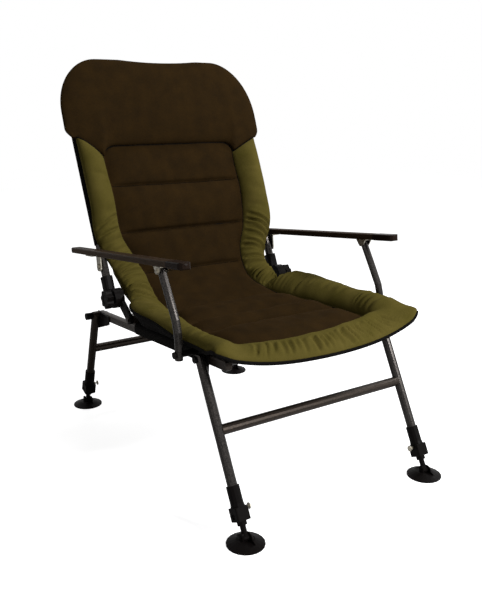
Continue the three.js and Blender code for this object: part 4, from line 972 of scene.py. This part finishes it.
# Half widths at the lower seam and above it; then where a top corner starts and ends, and its drop
WIDTHS_RIGHT, WIDTHS_LEFT = (284 * MM, 295 * MM), (287 * MM, 303 * MM)
CORNER_RIGHT, CORNER_LEFT = (165 * MM, 295 * MM, 156 * MM), (185 * MM, 303 * MM, 135 * MM)
PLUMP, SUNK_SEAM = 30 * MM, 17 * MM
BEHIND_GAP, BEHIND_MOST = 11.6 * MM, 25 * MM
OTHER_PATCH = 0.3
PILLOW_ROWS, PILLOW_COLUMNS = 70, 110


def pillow_surface(u, share, front):
    """One side; u runs from -1 to 1 across the pillow, share from 0 to 1 up it."""
    widen = np.sin(limited(share / 0.35) * math.pi / 2)
    x = u * np.where(u > 0, mixed(*WIDTHS_RIGHT, widen), mixed(*WIDTHS_LEFT, widen))
    low = head_seam_height(x) + PILLOW_GAP
    dip = TOP_DIP * np.maximum(1 - (2.5 * u) ** 2, 0)
    start, end, drop = (np.where(u > 0, *sides) for sides in zip(CORNER_RIGHT, CORNER_LEFT))
    rounding = limited((np.abs(u) * end - start) / (end - start))
    corner = 1 - np.sqrt(np.maximum(1 - rounding**2, 0))
    high = PILLOW_TOP - dip - drop * corner
    at = station_at_height(mixed(low, high, share))
    y, z, normal_y, normal_z = edge_place(at)
    pad = np.maximum(1 - np.abs(u) ** 3.2, 0) ** 0.55
    if front:
        seam = mixed(-SUNK_SEAM, EDGE, u**4)
        height = mixed(seam, EDGE, share) + PLUMP * pad * swell(share**0.8, 0.5)
        height = height + uneven(x, at + OTHER_PATCH) * pad * swell(share, 0.5)
    else:
        deep = np.minimum(depth_to_tubes(y, z, normal_y, normal_z) - BEHIND_GAP, BEHIND_MOST)
        height = -mixed(EDGE, deep, pad * (1 - share**6))
    return np.stack([x, y + normal_y * height, z + normal_z * height], -1)


print("middle of the pillow:", np.round(pillow_surface(np.array([0.0]), np.array([0.5]), True) / MM, 1))

# %% The pillow
share_grid, u_grid = np.meshgrid(
    (1 - np.cos(np.linspace(0, math.pi, PILLOW_ROWS))) / 2,
    np.sin(np.linspace(-math.pi / 2, math.pi / 2, PILLOW_COLUMNS)), indexing="ij",
)
front_slots = np.zeros((PILLOW_ROWS - 1, PILLOW_COLUMNS - 1))
pillow = padded_mesh(
    "headrest_pillow", pillow_surface(u_grid, share_grid, True), pillow_surface(u_grid, share_grid, False),
    front_slots, front_slots + 1, 0, [brown_fleece, black_polyester],
)
print("pillow faces:", len(pillow.data.polygons))

# %% [markdown]
# ## Piping and binding
#
# A thin black cord is sewn into the seam round the panel and under the pillow, black
# stitches run along the channel seams, and a wider tape binds the edge of the seat. The
# stitches are real, but their black is partly painted shade: it draws the shadow in each
# seam's valley as a dark line. All are tubes that follow the mattress's own points, ring by
# ring along a path.

# %% Tubes along a path
# Any direction that no path starts along
ASIDE = (0.3, 0.5, 0.8)
PIPING_RADIUS, STITCH_RADIUS, BINDING_RADIUS = 1.5 * MM, 0.8 * MM, 4 * MM


def tube_mesh(name, paths, radius, sides):
    vertices, faces = [], []
    for path in paths:
        points = np.asarray(path)
        tangent = np.gradient(points, axis=0)
        tangent /= np.maximum(np.linalg.norm(tangent, axis=1, keepdims=True), TINY)
        normal = np.cross(tangent[0], ASIDE)
        base = len(vertices)
        for point, along in zip(points, tangent):
            normal = normal - along * normal.dot(along)
            normal /= np.linalg.norm(normal)
            side = np.cross(along, normal)
            for k in range(sides):
                turn = 2 * math.pi * k / sides
                vertices.append(point + radius * (math.cos(turn) * normal + math.sin(turn) * side))
        for i in range(len(points) - 1):
            for k in range(sides):
                a, b = base + i * sides + k, base + i * sides + (k + 1) % sides
                faces.append((a, b, b + sides, a + sides))
        faces.append(tuple(range(base + sides - 1, base - 1, -1)))
        end = base + (len(points) - 1) * sides
        faces.append(tuple(range(end, end + sides)))
    return add_piece(name, [tuple(v) for v in vertices], faces, [black_polyester])


print("tube radii in mm:", [round(r / MM, 1) for r in (PIPING_RADIUS, STITCH_RADIUS, BINDING_RADIUS)])

# %% Seam piping round the panel
panel_edge = {1: middle + panel_columns, -1: middle - panel_columns}
first_row = int(np.argmin(np.abs(rows - FRONT_SEAM)))
side_seams = [top[first_row:, column] for column in panel_edge.values()]
front_seam = top[first_row, panel_edge[-1] : panel_edge[1] + 1]
piping = tube_mesh("seam_piping", [*side_seams, front_seam, top[-1]], PIPING_RADIUS, 6)
print("piping vertices:", len(piping.data.vertices))

# %% Stitches in the channel seams, their black partly painted shade
STITCH, STITCH_GAP, SEAM_MARGIN = 5 * MM, 1.6 * MM, 5 * MM
PROUD = (0, -0.3 * MM, 0.5 * MM)


def stitched_paths(line, start, end):
    """Cuts a line across the chair into stitches that lie just proud of the cloth."""
    paths = []
    for left in np.arange(start, end - STITCH, STITCH + STITCH_GAP):
        across = np.linspace(left, left + STITCH, 4)
        points = np.column_stack([np.interp(across, line[:, 0], line[:, i]) for i in range(3)])
        paths.append(points + PROUD)
    return paths


stitches = []
for seam_station in SEAM_STATIONS[1:-1]:
    row = int(np.argmin(np.abs(rows - seam_station)))
    line = top[row, panel_edge[-1] : panel_edge[1] + 1]
    stitches += stitched_paths(line, line[0, 0] + SEAM_MARGIN, line[-1, 0] - SEAM_MARGIN)
# Real stitches in black thread; the black also stands in for the shadow in each seam's valley, as painted
# shade
shade_stitching = tube_mesh("channel_stitching_painted_shade", stitches, STITCH_RADIUS, 5)
print("stitches:", len(stitches))

# %% Binding round the outer edge
BINDING_DROP = 3 * MM
rim = (top + bottom) / 2
seat_rows = int(np.sum(rows < station(SEAT_ENDS)))
left_rim, right_rim = rim[seat_rows:0:-2, 0], rim[1:seat_rows:2, -1]
front_rim = rim[0, ::2]
binding_path = np.concatenate([left_rim, front_rim, right_rim])
binding_path[:, 2] -= BINDING_DROP
binding = tube_mesh("edge_binding", [binding_path], BINDING_RADIUS, 8)
print("binding vertices:", len(binding.data.vertices))

# %% [markdown]
# The mattress crosses the reclining hinge. It goes with the seat frame together with its
# piping, stitches and binding, and the pillow goes with the backrest.

# %% The mattress goes with the seat frame, the pillow with the backrest
for piece in (mattress, piping, shade_stitching, binding):
    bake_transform(piece)
    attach(piece, "seat_frame")
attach(pillow, "backrest")
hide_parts("seat_cushion", "lumbar_cushion", "back_cushion")
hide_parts("headrest_cushion")

# %% [markdown]
# ## Studio
#
# The picture has a white floor. Its main light comes from low in front, a little from the
# right, so the front roll and the left roll of the back are the brightest. Two weaker lamps,
# one at the right and one above, fill in the sides and the seat.

# %% Floor
WHITE = (1, 1, 1, 1)
FLOOR_SIZE, FLOOR_SPECULAR, FLOOR_GLOW = 12, 0.1, 0.88


def studio_floor():
    """The floor glows white for the camera alone, so the glow lights no piece."""
    material, tree, shader = start_finish("white_floor", "#f4f4f4", 0.9)
    shader.inputs["Specular IOR Level"].default_value = FLOOR_SPECULAR
    bpy.ops.mesh.primitive_plane_add(size=FLOOR_SIZE, location=(0, 0, 0))
    floor = bpy.context.object
    floor.name = "floor"
    floor.data.materials.append(material)
    output = tree.nodes["Material Output"]
    rays = add_node(tree, "ShaderNodeLightPath")
    bright = add_node(tree, "ShaderNodeEmission", values={"Color": WHITE, "Strength": FLOOR_GLOW})
    both = add_node(
        tree, "ShaderNodeAddShader",
        links={0: shader.outputs["BSDF"], 1: bright.outputs["Emission"]},
    )
    seen = add_node(
        tree, "ShaderNodeMixShader",
        links={"Fac": rays.outputs["Is Camera Ray"], 1: shader.outputs["BSDF"], 2: both.outputs["Shader"]},
    )
    tree.links.new(seen.outputs["Shader"], output.inputs["Surface"])
    return floor


floor = studio_floor()
print("floor:", floor.name)


# %% World and lamps
WORLD_LIGHT, BACKDROP = 0.1, 1.0
AIM = (0, 0, 450 * MM)


def studio_world():
    """White where it is seen or mirrored, and much weaker as a light."""
    world = bpy.data.worlds.new("studio")
    world.use_nodes = True
    tree = world.node_tree
    tree.nodes.clear()
    rays = add_node(tree, "ShaderNodeLightPath")
    mirrored = add_node(
        tree, "ShaderNodeMath", {"operation": "MAXIMUM"},
        links={0: rays.outputs["Is Glossy Ray"], 1: rays.outputs["Is Transmission Ray"]},
    )
    seen = add_node(
        tree, "ShaderNodeMath", {"operation": "MAXIMUM"},
        links={0: rays.outputs["Is Camera Ray"], 1: mirrored.outputs["Value"]},
    )
    light, seen_light = (
        add_node(tree, "ShaderNodeBackground", values={"Color": WHITE, "Strength": strength})
        for strength in (WORLD_LIGHT, BACKDROP)
    )
    chosen = add_node(
        tree, "ShaderNodeMixShader",
        links={"Fac": seen.outputs["Value"], 1: light.outputs[0], 2: seen_light.outputs[0]},
    )
    add_node(tree, "ShaderNodeOutputWorld", links={"Surface": chosen.outputs["Shader"]})
    scene.world = world


def lamp(name, place, size, power):
    data = bpy.data.lights.new(name, "AREA")
    data.shape = "DISK"
    data.size = size
    data.energy = power
    light = bpy.data.objects.new(name, data)
    light.location = place
    aim = Vector(AIM) - Vector(place)
    light.rotation_euler = aim.to_track_quat("-Z", "Y").to_euler()
    scene.collection.objects.link(light)


studio_world()
lamp("key", (1.0, -2.5, 2.0), 0.45, 80)
lamp("side", (2.5, -0.5, 1.9), 0.7, 20)
lamp("top", (0.4, 0.6, 3.2), 0.8, 19)
print("lamps: 3")
